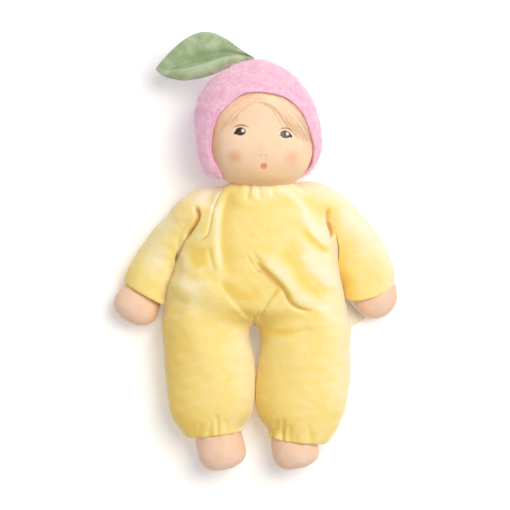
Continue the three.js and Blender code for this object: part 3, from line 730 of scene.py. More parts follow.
LEGS = (
    Limb(
        Side.LEFT,
        (
            (32.4, -28), (33, -35), (34.6, -50), (35.4, -60), (35.1, -70), (34.4, -80), (33.7, -90),
            (32.7, -100), (32.3, -108), (32.4, -115), (31.5, -121), (29.3, -126),
        ),
        (
            (0, 27.5), (0.07, 29.4), (0.22, 30.2), (0.33, 30.1), (0.43, 30.7), (0.53, 31.1),
            (0.63, 31.1), (0.73, 30.4), (0.81, 28.6), (0.88, 25.2), (0.94, 20.8), (1, 15.8),
        ),
        LEG_DEPTHS,
        LEG_HEIGHTS,
        (28.6, -125.2),
        (-0.12, -0.993),
        squareness=2.25,
        hem_droop=0.12,
    ),
    Limb(
        Side.RIGHT,
        (
            (-32.6, -28), (-33.2, -35), (-34.7, -50), (-34, -60), (-32.9, -70), (-31.9, -80),
            (-31.4, -90), (-31.1, -100), (-30.2, -107), (-29.4, -113), (-28.6, -118), (-26.6, -122.5),
        ),
        (
            (0, 27.5), (0.07, 29.2), (0.23, 29.4), (0.34, 29.5), (0.44, 29.7), (0.55, 29.6),
            (0.66, 29.3), (0.76, 28.5), (0.82, 27.6), (0.87, 25.8), (0.92, 22.0), (0.96, 18.4), (1, 14.6),
        ),
        LEG_DEPTHS,
        LEG_HEIGHTS,
        (-26.4, -121.6),
        (0.13, -0.991),
        squareness=2.25,
        hem_droop=0.05,
    ),
)


@dataclass
class Suit:
    """The velour suit with its stuffing: a body, two sleeves and two trouser legs in one skin.

    It is modelled with its arms and legs spread, so that the skin closes between them, and then
    brought to rest, which presses the sleeves against the flanks.
    """

    voxel: float = 1.7
    stuffing_voxel: float = 4.5
    pressure: float = 4.0
    frames: int = 20
    swelling_cap: float = 2.0
    cover: float = 1.7
    arm_spread: float = np.radians(24)
    arm_bend: Point2 = (12.0, 38.0)
    leg_spread: float = 6.0
    leg_bend: Point2 = (-42.0, -70.0)
    shoulders: tuple[Point3, Point3] = ((48.84, 33.0, 25.0), (-43.16, 33.0, 25.0))
    middle: float = -0.7
    squareness: float = 2.35
    lower_end: float = -46.0
    upper_end: float = 49.5
    leans: Stops = (
        (-50, 0.8), (-34, 1.1), (-24, 0.5), (-12, 1.1), (4, 1.3), (15, 3.2), (30, 4.4), (44, 4.0), (50, 4.5),
    )
    widths: Stops = (
        (-50, 62.0), (-42, 62.3), (-34, 61.6), (-24, 60.2), (-12, 57.0), (4, 54.8), (15, 51.4), (30, 42.6),
        (38, 36.0), (44, 29.5), (48, 24.0),
    )
    depths: Stops = (
        (-50, 23.2), (-42, 24.3), (-30, 26.0), (-14, 27.2), (0, 27.0), (17, 25.6), (30, 23.0), (44, 19.0),
        (49.5, 17.5),
    )
    heights: Stops = (
        (-50, 22.8), (-42, 24.0), (-30, 25.6), (-14, 26.8), (0, 26.6), (17, 26.0), (30, 27.6), (44, 33.5),
        (49.5, 36.5),
    )
    hem_zone: float = -95.0
    hem_gathers: tuple[Point2, Point2] = ((13, 0.4), (12, 1.1))
    collar: Point2 = (4.0, 35.5)
    collar_half: float = 30.0
    collar_gathers: tuple[int, int] = (27, 18)
    arms: tuple[Limb, Limb] = ARMS
    legs: tuple[Limb, Limb] = LEGS

    def body_stations(self) -> Stations:
        """Sections of the body from the crotch to the neckline, rounded at both ends.

        Returns:
            The sections, in order.
        """
        ends = 1 - np.cos(np.linspace(0.08, 1, 9) * np.pi / 2)
        lower = self.lower_end + 7 * ends
        upper = self.upper_end - 6 * ends[::-1]
        y = np.concatenate([lower, np.linspace(lower[-1], upper[0], 44)[1:-1], upper])
        shut_low = np.clip((y - self.lower_end) / 7, 0, 1)
        shut_high = np.clip((self.upper_end - y) / 6, 0, 1)
        low, high = np.sqrt(1 - (1 - shut_low) ** 2), np.sqrt(1 - (1 - shut_high) ** 2)
        centres = np.column_stack([through(self.leans, y), y, through(self.heights, y)])
        return Stations(
            centres,
            np.tile([-1.0, 0.0, 0.0], (len(y), 1)),
            through(self.widths, y) * (0.75 + 0.25 * low) * (0.55 + 0.45 * high),
            through(self.depths, y) * low * (0.45 + 0.55 * high),
            self.squareness,
        )

    def out_of_body(self, points: Array) -> Array:
        """How far points are from the body's spine, as a share of its own radius there.

        Args:
            points: The points.

        Returns:
            A share for each point, 1 on the body's form.
        """
        y = np.clip(points[:, 1], self.lower_end, self.upper_end)
        wide = np.abs(points[:, 0] - through(self.leans, y)) / through(self.widths, y)
        deep = np.abs(points[:, 2] - through(self.heights, y)) / through(self.depths, y)
        out = (wide**self.squareness + deep**self.squareness) ** (1 / self.squareness)
        return out + np.abs(points[:, 1] - y) / 20

    def opened(self, arm: Limb) -> Limb:
        """An arm turned outwards about its shoulder, more so further along it.

        Args:
            arm: The arm at rest.

        Returns:
            The arm spread.
        """
        spine = np.array(arm.spine, float)
        chord = np.linalg.norm(np.diff(spine, axis=0), axis=1)
        along = np.concatenate([[0.0], np.cumsum(chord)])
        flat = np.column_stack([spine, np.zeros(len(spine))])
        spread = turned(flat, self.pivot(arm), self.arm_turn(arm, along))
        return replace(arm, spine=tuple((float(x), float(y)) for x, y in spread[:, :2]))

    def pivot(self, arm: Limb) -> Array:
        """The middle of the arm's shoulder joint."""
        return np.array(self.shoulders[0 if arm.side is Side.LEFT else 1])

    def arm_turn(self, arm: Limb, along: Array) -> Array:
        """The angle by which an arm is spread at places along it."""
        return arm.side.value * self.arm_spread * smoothstep(*self.arm_bend, along)

    def leg_shift(self, y: Array) -> Array:
        """How far the legs are moved apart at places down them."""
        return self.leg_spread * smoothstep(*self.leg_bend, y)

    def spread_form(self) -> Surface:
        """The body and the four spread limbs as closed forms that run into each other.

        Returns:
            The forms as one.
        """
        parts = [self.body_stations().surface(96)]
        parts += [self.opened(arm).stations().surface() for arm in self.arms]
        for leg in self.legs:
            stations = leg.stations()
            stations.centres[:, 0] += leg.side.value * self.leg_shift(stations.centres[:, 1])
            parts.append(stations.surface())
        return Surface.joined(parts)

    def one_skin(self, form: Surface, voxel: float, rounds: int, levels: int) -> Surface:
        """One even skin of small squares over a form of several closed pieces.

        Args:
            form: The closed pieces.
            voxel: The squares' size in millimetres.
            rounds: How often the skin is smoothed.
            levels: How often each square is divided into four.

        Returns:
            The skin.
        """
        made = form.object("suit_skin")
        remesh = made.modifiers.new("even skin", "REMESH")
        remesh.mode = "VOXEL"
        remesh.voxel_size = voxel * MM
        smooth = made.modifiers.new("soften", "SMOOTH")
        smooth.factor = 0.5
        smooth.iterations = rounds
        if levels:
            divide = made.modifiers.new("divide", "SUBSURF")
            divide.levels = divide.render_levels = levels
        skin = read_back(made)
        discard(made)
        return skin.outward()

    def stuffed(self, skin: Surface) -> Surface:
        """The skin blown out by its stuffing: a cloth under pressure, with no gravity.

        Args:
            skin: The skin, a little small.

        Returns:
            The skin after the last frame, with no point moved further than the cap.
        """
        made = skin.object("suit_stuffing")
        cloth = made.modifiers.new("stuffing", "CLOTH")
        cloth.settings.use_pressure = True
        cloth.settings.uniform_pressure_force = self.pressure
        cloth.settings.effector_weights.gravity = 0.0
        scene = bpy.context.scene
        for number in range(self.frames):
            scene.frame_set(1 + number)
        blown = read_back(made).points
        scene.frame_set(1)
        discard(made)
        step = blown - skin.points
        far = np.linalg.norm(step, axis=1)
        log.info("stuffing moves the skin by %.2f mm at most", float(far.max()))
        share = np.minimum(1.0, self.swelling_cap / np.maximum(far, 1e-9))
        return Surface(skin.points + step * share[:, None], skin.quads)

    def brought_to_rest(self, points: Array) -> tuple[Array, list[Array], Array]:
        """Closes the arms and legs of the spread skin.

        Args:
            points: The spread skin's points.

        Returns:
            The points at rest, for each arm how much each point belongs to it, and each point's
            side as the sign of X.
        """
        body = self.out_of_body(points)
        rest = points.copy()
        shares = []
        for arm in self.arms:
            along, out = self.opened(arm).nearest(points)
            mine = smoothstep(-0.10, 0.12, body - out) * (arm.side.value * points[:, 0] > 0)
            rest = turned(rest, self.pivot(arm), -self.arm_turn(arm, along) * mine)
            shares.append(mine * smoothstep(8.0, 20.0, along))
        side = np.sign(points[:, 0] - self.middle)
        legs_only = 1 - np.maximum(shares[0], shares[1])
        rest[:, 0] -= side * self.leg_shift(points[:, 1]) * legs_only
        return rest, shares, side

    def lumps(self, points: Array) -> Array:
        """The wool's slight unevenness under the cloth, and faint creases across it, as waves.

        Args:
            points: The points.

        Returns:
            The lift at each point.
        """
        x, y, z = points.T
        wave = np.sin(0.11 * x + 0.05 * y + 1.0) * np.sin(0.09 * y - 0.11 * z + 2.0)
        wave += 0.5 * np.sin(0.21 * x - 0.07 * y + 0.3 * z) * np.sin(0.16 * y + 1.3)
        bent = y + 4 * np.sin(0.13 * x + 0.6)
        return 0.25 * wave + 0.13 * np.sin(0.62 * bent + 0.9 * np.sin(0.2 * x)) * np.sin(0.23 * x - 0.1 * y)

    def gathered(self, points: Array, normals: Array) -> Array:
        """Lift of the gathers: round the trouser hems and round the neckline.

        Args:
            points: The skin's points at rest.
            normals: Its normals.

        Returns:
            The lift at each point.
        """
        lift = np.zeros(len(points))
        for leg, (count, phase) in zip(self.legs, self.hem_gathers):
            centre = np.array([*leg.hem_centre, LEG_HEIGHTS[-1][1]])
            heading = unit(np.array([*leg.hem_heading, 0.0]))
            above = -(points - centre) @ heading
            angle = np.arctan2(points[:, 2] - centre[2], points[:, 0] - centre[0])
            pleat = np.cos(count * angle + phase + 1.3 * np.sin(2 * angle)) + 0.5 * np.sin(5 * angle + phase)
            near = np.exp(-(((above + 1.0) / 6.5) ** 2)) * (leg.side.value * points[:, 0] > 0)
            lift += 0.4 * pleat * near * (points[:, 1] < self.hem_zone)
        sideways = points[:, 0] - self.collar[0]
        angle = np.arctan2(sideways, 70.0 - points[:, 1])
        around = np.arctan2(points[:, 2] - self.collar[1], sideways)
        front = smoothstep(0.0, 0.5, normals[:, 2])
        pleat = np.cos(self.collar_gathers[0] * angle + 0.9 * np.sin(7 * angle)) * front
        pleat += np.cos(self.collar_gathers[1] * around) * (1 - front)
        collar = smoothstep(35.0, 47.0, points[:, 1]) * (np.abs(sideways) < self.collar_half)
        return lift + 0.3 * pleat * collar

    def finished(self) -> tuple[Surface, Array, list[Array], Array]:
        """The whole skin at rest with its folds, gathers and hems.

        Returns:
            The surface, its folds' lift with painted shade, for each arm which points are its own, and each
            point's side as the sign of X.
        """
        form = self.spread_form()
        form = self.stuffed(self.one_skin(form, self.stuffing_voxel, 3, 0))
        skin = self.one_skin(form, self.voxel, 5, 1)
        skin.points = skin.points + self.cover * skin.normals()
        log.info("suit skin: %d squares", len(skin.quads))
        points, arms, side = self.brought_to_rest(skin.points)
        skin = Surface(points, skin.quads)
        normals = skin.normals()
        log.info("suit at rest reaches X %.1f to %.1f", points[:, 0].min(), points[:, 0].max())
        front = smoothstep(0.05, 0.45, normals[:, 2])
        flat = points[:, :2]
        folds = sum(fold.rise(flat) for fold in FOLDS) * front
        swellings = sum(swelling.rise(flat) for swelling in SWELLINGS) * front
        lift = folds + swellings + self.lumps(points) + self.gathered(points, normals)
        direction = unit(normals + 0.6 * UP * front[:, None])
        points = points + direction * lift[:, None]
        for limb, mine in zip(self.arms, arms):
            points = limb.hem_turned_in(points, mine > 0.5)
        for leg in self.legs:
            points = leg.hem_turned_in(points, (points[:, 1] < self.hem_zone) & (leg.side.value == side))
        # Painted shade between folds: it deepens the velour's colour but moves no point.
        shades = sum(shade.rise(flat) for shade in SHADES) * front
        return Surface(on_the_ground(points), skin.quads), folds + shades, arms, side


@dataclass(frozen=True)
class Revolved:
    """A head form: an outline turned about the long axis and flattened from front to back."""

    outline: tuple[Point2, ...]
    leans: Stops
    height: float = 39.3
    depth_share: float = 0.92
    squareness: float = 2.0

    def place(self, shares: Array) -> tuple[Array, Array]:
        """Half widths and places along Y at shares of the outline, from the crown down."""
        line = curve_through(self.outline, shares)
        return np.maximum(line[:, 0], 0.0), line[:, 1]

    def point(self, half_width: Array, y: Array, angle: Array) -> Array:
        """Points round the form.

        Args:
            half_width: The form's half width there.
            y: The place along Y.
            angle: The angle from the front towards +X.

        Returns:
            The points, at the half width times the sine sideways and the half depth times the
            cosine up, each raised to 2 over the squareness.
        """
        bend = lambda value: np.sign(value) * np.abs(value) ** (2 / self.squareness)
        x = through(self.leans, y) + half_width * bend(np.sin(angle))
        z = self.height + half_width * self.depth_share * bend(np.cos(angle))
        return np.stack([x, y, z], axis=-1)

    def front_height(self, flat: Array) -> Array:
        """The height of the form's front at points seen from above.

        Args:
            flat: The points, as X and Y.

        Returns:
            The height at each point.
        """
        shares = np.linspace(0, 1, 400)
        half_width, y = self.place(shares)
        order = np.argsort(y)
        wide = np.interp(flat[:, 1], y[order], half_width[order])
        share = np.clip(np.abs(flat[:, 0] - through(self.leans, flat[:, 1])) / np.maximum(wide, 1e-6), 0, 1)
        rest = (1 - share**self.squareness) ** (1 / self.squareness)
        return self.height + wide * self.depth_share * rest


HEAD_FORM = Revolved(
    (
        (0, 128.7), (6, 128.1), (13.4, 125.1), (20.7, 119.8), (27.1, 112.8), (31.3, 105.9), (34.4, 98.6),
        (36.2, 91.4), (37.3, 84.4), (37.7, 77.5), (37.3, 70.5), (35.8, 65), (33.4, 60.1), (30.2, 55.8),
        (26, 51.6), (19.9, 48.3), (11.4, 46.3), (0, 45.6),
    ),
    ((45, 4.9), (56, 3.4), (70, 2.2), (80, 2.4), (100, 1.4), (130, 0.8)),
    depth_share=0.93,
    squareness=2.12,
)

HAT_FORM = Revolved(
    (
        (0, 132.5), (7.9, 130.7), (14.4, 128.1), (20.3, 124.9), (27.8, 119.8), (32.9, 114.3), (36.5, 108.7),
        (39.1, 103.3), (41, 97.9), (41.8, 92.5), (42.1, 87.1), (42.4, 81.7), (42.3, 76.3), (41.7, 70.9),
        (40.3, 65.5), (38, 60.1), (34.3, 54.6), (29.3, 49.3), (24.6, 45.7),
    ),
    ((46, 0.6), (55, 1.6), (66, 2.9), (77, 2.9), (88, 1.6), (99, 0.5), (115, -0.4), (122, -0.4), (134, 0.6)),
    height=39.6,
    depth_share=0.945,
    squareness=2.06,
)


@dataclass
class Head:
    """The tied wool head under skin jersey, with painted features and no nose but a small rise."""

    form: Revolved = HEAD_FORM
    rows: int = 170
    columns: int = 240
    eye_line: float = 84.5

    def surface(self) -> Surface:
        """The head's skin, with the dent of the eye line, full cheeks and a small nose.

        Returns:
            The closed skin.
        """
        shares = (1 - np.cos(np.pi * np.linspace(0, 1, self.rows + 2)[1:-1])) / 2
        half_width, y = self.form.place(shares)
        angle = 2 * np.pi * np.arange(self.columns) / self.columns
        rows = self.form.point(half_width[:, None], np.repeat(y[:, None], self.columns, 1), angle[None])
        lean = self.form.leans
        start = np.array([lean[-1][1], self.form.outline[0][1], self.form.height])
        end = np.array([lean[0][1], self.form.outline[-1][1], self.form.height])
        skin = Surface.grid(rows, start, end)
        normals = skin.normals()
        front = smoothstep(0.1, 0.6, normals[:, 2])
        x, y = skin.points[:, 0], skin.points[:, 1]
        slope = self.eye_line - 0.065 * (x - 5.5)
        lift = -0.9 * np.exp(-(((y - slope) / 6.5) ** 2)) * np.exp(-(((x - 5.5) / 30) ** 4))
        features = (
            Swelling((-15.0, 67.5), 13.0, 11.0, 0.9),
            Swelling((26.5, 66.0), 12.0, 11.0, 0.9),
            Swelling((5.9, 71.6), 2.6, 2.6, 0.75),
            Swelling((5.9, 61.0), 3.4, 2.6, -0.35),
            Swelling((5.5, 53.5), 8.0, 5.0, 0.7),
        )
        lift = (lift + sum(shape.rise(skin.points[:, :2]) for shape in features)) * front
        return Surface(skin.points + normals * lift[:, None], skin.quads, skin.triangles, skin.corner_uvs)


@dataclass
class Hat:
    """The wool hat: one thick sheet round the crown and back of the head, open over the face."""

    form: Revolved = HAT_FORM
    rim: tuple[Point2, ...] = (
        (0, 109.9), (12, 109.6), (22, 108.6), (33, 106.6), (43, 103.6), (52, 98.9), (58, 92.5), (61, 86.5),
        (63.5, 81.0), (68, 76.5), (75, 71.5), (82, 65.0), (87, 58.5), (93, 53.0), (106, 51.6), (125, 53.0),
        (150, 54.5), (180, 55.0), (210, 54.5), (235, 53.0), (255, 51.0), (275, 49.6), (292, 49.0),
        (299, 49.6), (303, 52.8), (304, 57.5), (304.4, 63.0), (305.2, 70.5), (307.6, 78.5),
        (312.6, 87.0), (319.8, 94.8), (329.4, 101.4), (340, 105.9), (350, 108.8),
    )
    thickness: float = 2.7
    rim_thinning: float = 0.45
    rim_roundness: float = 1.1
    clearance: float = 0.5
    thickest: float = 6.0
    rays: int = 300
    rows: int = 64
    rim_rows: int = 9

    def unrolled(self) -> tuple[Array, Array, Array]:
        """Half widths, places along Y and distances from the crown, down the outline.

        Returns:
            The three, each an array.
        """
        half_width, y = self.form.place(np.linspace(0, 1, 600))
        step = np.hypot(np.diff(half_width), np.diff(y))
        return half_width, y, np.concatenate([[0.0], np.cumsum(step)])

    def sheet_points(self) -> Array:
        """Points of the sheet, from a place at the back of the head out to the rim.

        The outline's distance from the crown and the angle round the head are polar coordinates
        of a plane. The sheet covers what is seen in that plane from a centre at the back, along
        straight rays to the rim.

        Returns:
            Rows from the centre to the rim, by rays, by 3.
        """
        half_width, y, far = self.unrolled()
        knots = np.array(self.rim + self.rim[:1], float)
        knots[-1, 0] += 360
        wrapped = np.vstack([knots[-4:-1] - [360, 0], knots, knots[1:4] + [360, 0]])
        radius = np.interp(-wrapped[:, 1], -y, far)
        angle = np.radians(wrapped[:, 0])
        flat = np.column_stack([radius * np.sin(angle), radius * np.cos(angle)])
        chord = np.concatenate([[0.0], np.cumsum(np.linalg.norm(np.diff(flat, axis=0), axis=1))])
        first, last = chord[3] / chord[-1], chord[-4] / chord[-1]
        edge = curve_through(flat, first + (last - first) * np.arange(self.rays) / self.rays)
        centre = np.array([0.0, -38.0])
        out = np.linspace(0, 1, self.rows + 1)[1:] ** 0.85
        plane = centre + (edge - centre)[None] * out[:, None, None]
        reach = np.linalg.norm(plane, axis=2)
        turn = np.arctan2(plane[..., 0], plane[..., 1])
        wide = np.interp(reach, far, half_width)
        place = np.interp(reach, far, y)
        return self.form.point(wide, place, turn)

    def surface(self) -> Surface:
        """The closed sheet: outer side, rounded rim and inner side.

        Returns:
            The sheet.
        """
        outer = self.sheet_points()
        along = np.gradient(outer, axis=0)
        around = (np.roll(outer, -1, axis=1) - np.roll(outer, 1, axis=1)) / 2
        normal = unit(np.cross(around, along))
        middle = outer.mean(axis=(0, 1))
        if np.einsum("ijk,ijk->", normal, outer - middle) < 0:
            normal = -normal
        near_rim = smoothstep(0.90, 1.0, np.linspace(0, 1, self.rows))[:, None, None]
        thickness = self.thickness_at(outer)
        top = outer - normal * thickness * self.rim_thinning * near_rim
        under = outer - normal * thickness
        half = np.linalg.norm(top[-1] - under[-1], axis=1)[:, None] / 2
        heading = unit(under[-1] - under[-4])
        swing = np.linspace(0, np.pi, self.rim_rows + 2)[1:-1, None, None]
        reach = np.minimum(half, self.rim_roundness)
        rim = (top[-1] + under[-1]) / 2 + half * normal[-1] * np.cos(swing) + reach * heading * np.sin(swing)
        rows = np.concatenate([top, rim, under[::-1]])
        wobble = self.wobble(rows)
        rows = rows + wobble
        flat = on_the_ground(rows.reshape(-1, 3), 0.8).reshape(rows.shape)
        return Surface.grid(flat, flat[0].mean(0), flat[-1].mean(0))

    def thickness_at(self, outer: Array) -> Array:
        """The sheet's thickness, which fills the room to the head where that is the larger.

        Args:
            outer: Points of the outer side.

        Returns:
            The thickness at each point.
        """
        shares = np.linspace(0, 1, 400)
        half_width, y = HEAD_FORM.place(shares)
        order = np.argsort(y)
        wide = np.interp(outer[..., 1], y[order], half_width[order])
        away = outer - np.array([0.0, 0.0, HEAD_FORM.height])
        across = np.hypot(away[..., 0] - through(HEAD_FORM.leans, outer[..., 1]), away[..., 2])
        room = (across - wide - self.clearance) * smoothstep(118.0, 98.0, outer[..., 1])
        return np.clip(room, self.thickness, self.thickest)[..., None]

    def wobble(self, rows: Array) -> Array:
        """Slow unevenness of the thick wool sheet.

        Args:
            rows: The points, in rows.

        Returns:
            The lift at each point.
        """
        x, y, z = np.moveaxis(rows, -1, 0)
        size = 0.35 * np.sin(0.19 * x + 0.23 * y) * np.sin(0.16 * z - 0.2 * y + 1.0)
        size += 0.2 * np.sin(0.45 * x - 0.3 * z + 0.6) * np.sin(0.37 * y)
        out = unit(rows - rows.mean(axis=(0, 1)))
        return out * size[..., None]


@dataclass
class Strands:
    """Many fine fibres, each a thin three-sided tube along its own path."""

    paths: Array
    radii: Array

    def surface(self) -> Surface:
        """The closed tubes.

        Returns:
            One surface of all tubes, with U round each tube and V along it.
        """
        count, places = self.paths.shape[:2]
        heading = unit(np.gradient(self.paths, axis=1))
        side = unit(np.cross(heading, UP + np.array([0.013, 0.007, 0.0])))
        over = np.cross(side, heading)
        turn = 2 * np.pi * np.arange(3) / 3
        ring = (
            side[:, :, None] * np.cos(turn)[:, None] + over[:, :, None] * np.sin(turn)[:, None]
        ) * self.radii[:, :, None, None]
        points = (self.paths[:, :, None] + ring).reshape(-1, 3)
        s, i, k = np.meshgrid(np.arange(count), np.arange(places - 1), np.arange(3), indexing="ij")
        base = (s * places + i).ravel() * 3
        k = k.ravel()
        after = (k + 1) % 3
        quads = np.column_stack([base + k, base + after, base + 3 + after, base + 3 + k])
        first = np.arange(count) * places * 3
        last = first + (places - 1) * 3
        caps = np.vstack(
            [np.column_stack([first + 2, first + 1, first]), np.column_stack([last, last + 1, last + 2])]
        )
        flat_uv = np.zeros((len(quads) * 4 + len(caps) * 3, 2))
        flat_uv[: len(quads) * 4, 1] = np.repeat(i.ravel() / places, 4)
        return Surface(points, quads, caps, flat_uv).outward()


@dataclass
class Hair:
    """Mohair wisps that show under the hat's rim, in locks that sweep to both sides."""

    locks: tuple[tuple[int, float, tuple[Point2, ...]], ...] = (
        (70, 1.6, ((12, 107.6), (-2, 106.6), (-11, 102.8), (-18.5, 97), (-24.5, 89.5), (-29.2, 80))),
        (60, 1.7, ((14, 106.4), (1, 104.6), (-7.5, 101), (-15.5, 95.3), (-22, 88), (-28, 78))),
        (34, 2.2, ((9, 104.8), (-1, 103), (-8.5, 98.9), (-15.5, 93.2), (-21.5, 86.4), (-25.6, 80))),
        (12, 2.4, ((0, 104), (-8, 98.6), (-14, 92), (-18.5, 85))),
        (80, 1.6, ((-10, 107.2), (6, 106.9), (16.5, 103.8), (25.5, 98.3), (32, 91), (36.6, 80.5))),
        (64, 1.7, (
            (-8, 105.6), (7, 104.9), (16.5, 101.2), (24.5, 95), (30.5, 87.5), (35.3, 78.5), (36.3, 71),
        )),
        (46, 2.0, ((-4, 104.6), (8, 103.6), (15.5, 99.8), (21.8, 93.7), (27.5, 87.2), (34, 79.5))),
        (20, 2.2, ((1, 103.6), (11, 102.4), (16.4, 98.8), (20.2, 93), (25.5, 87), (31, 81.5))),
        (12, 1.6, ((6, 103.2), (12.6, 101), (17, 96), (20, 90.5), (25.5, 84), (31, 79))),
        (10, 2.2, ((-14, 101), (-2, 104.2), (8, 102.6), (17, 97), (24, 89))),
        (8, 1.8, ((33, 92), (35.8, 84), (36.6, 76), (36.4, 70))),
    )
    places: int = 14
    radius: float = 0.17
    form: Revolved = HEAD_FORM

    def surface(self, seed: int = 7) -> tuple[Surface, Array, Array]:
        """All wisps.

        Each follows its lock's line, moved sideways by its own amount, which grows to the tip, and
        lies a little above the head's front.

        Args:
            seed: The seed of the random draws.

        Returns:
            The surface of all wisps, its points' normals, which are mostly the head's, as light
            goes through fine fibres, and each point's tone from 0, deep, to 1, pale.
        """
        draw = np.random.default_rng(seed)
        share = np.linspace(0, 1, self.places)
        paths = []
        tones = []
        for count, spread, line in self.locks:
            middle = curve_through(line, share)
            across = unit(np.gradient(middle, axis=0))[:, ::-1] * np.array([1, -1])
            reach = draw.uniform(0.62, 1.04, count)
            aside = draw.normal(0, spread, count)
            curl = draw.uniform(0, 2 * np.pi, count)
            wave = draw.uniform(0.3, 1.7, count)
            for k in range(count):
                at = share * reach[k]
                base = curve_through(line, at)
                move = aside[k] * (0.55 + 0.55 * at) + wave[k] * np.sin(curl[k] + 7 * at) * at
                flat = base + across * move[:, None]
                lift = 0.2 + 0.7 * draw.uniform() * np.sin(np.pi * np.clip(at, 0, 1)) + 0.3 * draw.uniform()
                z = self.form.front_height(flat) + lift
                paths.append(np.column_stack([flat, z]))
                tones.append(0.62 + 0.12 * np.sin(2.6 * aside[k]) + draw.normal(0, 0.25))
        taper = self.radius * np.sqrt(np.clip(1.05 - share**2, 0.08, 1))
        radii = np.tile(taper, (len(paths), 1))
        wisps = Strands(np.array(paths), radii).surface()
        flat = wisps.points[:, :2]
        slope = [
            (self.form.front_height(flat + step) - self.form.front_height(flat - step))
            for step in (np.array([0.5, 0.0]), np.array([0.0, 0.5]))
        ]
        head_normals = unit(np.column_stack([-slope[0], -slope[1], np.ones(len(flat))]))
        tone = np.repeat(np.clip(tones, 0, 1), self.places * 3)
        return wisps, unit(head_normals + 0.35 * wisps.normals()), tone


@dataclass
class Fuzz:
    """Loose wool fibres that stand off the hat."""

    count: int = 4000
    length: Point2 = (3.0, 10.0)
    places: int = 6
    radius: float = 0.08

    def surface(self, hat: Surface, rows: int, rays: int, seed: int = 11) -> tuple[Surface, Array]:
        """Fibres that start on the hat's outer side and run along it, waving a little off it.

        Args:
            hat: The hat's surface.
            rows: The rows of its outer side.
            rays: The points in a row.
            seed: The seed of the random draws.

        Returns:
            The surface of all fibres, and each point's tone.
        """
        draw = np.random.default_rng(seed)
        outer = hat.points[: rows * rays]
        normals = hat.normals()[: rows * rays]
        area = np.repeat(np.linspace(0.02, 1, rows), rays)
        pick = draw.choice(len(outer), self.count, p=area / area.sum())
        root, normal = outer[pick], normals[pick]
        heading = unit(np.cross(normal, unit(draw.normal(size=(self.count, 3)))))
        bend = unit(np.cross(normal, heading)) * draw.normal(0, 0.5, (self.count, 1))
        size = draw.uniform(*self.length, self.count)[:, None, None]
        lift = (0.02 + 0.75 * draw.uniform(0, 1, self.count) ** 2)[:, None, None]
        t = np.linspace(0, 1, self.places)[None, :, None]
        paths = root[:, None] + size * (
            heading[:, None] * t + bend[:, None] * t**2 + normal[:, None] * (lift * t - 0.45 * lift * t**2)
        )
        paths[..., 2] = np.maximum(paths[..., 2], 0.3)
        radii = np.tile(self.radius * np.linspace(1, 0.4, self.places), (self.count, 1))
        tone = np.repeat(draw.uniform(0, 1, self.count), self.places * 3)
        return Strands(paths, radii).surface(), tone


@dataclass
class Leaf:
    """The leaf: two layers of jersey with a soft fold along it and a tip that droops."""

    upper: tuple[Point2, ...] = (
        (-0.5, 133.3), (-5.5, 136.2), (-10.8, 139.7), (-19.6, 146), (-29, 150.1), (-35.7, 150.6),
        (-42.7, 148.5), (-47.9, 145.5), (-56, 138.8), (-63, 131.6), (-67.1, 126.8),
    )
    crest: tuple[Point2, ...] = (
        (-0.5, 132.9), (-6.1, 134.2), (-14.5, 134.6), (-22.9, 133.2), (-31.1, 130.2), (-39.8, 127.8),
        (-47.9, 126.2), (-56.4, 125.3), (-63, 125.3), (-67.2, 126),
    )
    lower: tuple[Point2, ...] = (
        (-0.5, 131.8), (-6.5, 131.1), (-10.8, 129.5), (-15.9, 127.2), (-27.7, 122.1), (-35.7, 119.7),
        (-41.9, 118.7), (-48.1, 118), (-54.1, 118.8), (-63.1, 121.9), (-67, 125.3),
    )
    root_height: float = 40.5
    droop: float = 9.0
    thickness: float = 2.3
    rows: int = 110
    across: int = 34

    def surface(self) -> tuple[Surface, Array]:
        """The closed leaf, whose layers meet in a rounded edge, and the relief at its points.

        Returns:
            The leaf and the relief.
        """
        share = (1 - np.cos(np.pi * np.linspace(0, 1, self.rows))) / 2
        upper, crest, lower = (curve_through(line, share) for line in (self.upper, self.crest, self.lower))
        blade = np.linspace(0, 1, self.across)[None, :, None]
        lip = np.linspace(0, 1, self.across // 2)[None, 1:, None]
        above = upper[:, None] * (1 - blade) + crest[:, None] * blade
        below = crest[:, None] * (1 - lip) + lower[:, None] * lip
        top = np.concatenate([above, below], axis=1)
        swell = (np.sin(np.pi * share) ** 0.8)[:, None]
        b, q = blade[..., 0], lip[..., 0]
        hollow = 2.4 * (1 - b) ** 1.5 - 3.8 * np.exp(-(((b - 0.80) / 0.2) ** 2))
        ridge = 4.0 * smoothstep(0.80, 1.0, b)
        band = 4.0 * (1 - q**2.2) - 1.2 * q
        relief = np.concatenate([hollow + ridge, band + 0 * q], axis=1) * swell
        height = self.root_height - self.droop * share[:, None] ** 1.6 + relief
        height += 0.35 * np.sin(0.35 * top[..., 0] + 0.5) * swell
        upside = np.concatenate([top, height[..., None]], axis=2)
        rising, falling = (np.sin(np.pi * np.linspace(*ends, 5)) for ends in ((0.02, 0.5), (0.5, 0.98)))
        edge = np.concatenate([rising, np.ones(top.shape[1] - 10), falling])
        half = UP * (self.thickness / 2) * edge[None, :, None]
        fade = np.sqrt(np.clip(np.sin(np.pi * np.clip(share, 0.004, 0.996)) * 6, 0, 1))[:, None, None]
        rows = np.concatenate([upside + half * fade, (upside - half * fade)[:, ::-1]], axis=1)
        both = np.concatenate([relief, relief[:, ::-1]], axis=1).ravel()
        return Surface.grid(rows, rows[0].mean(0), rows[-1].mean(0)), np.concatenate([both, [0.0, 0.0]])


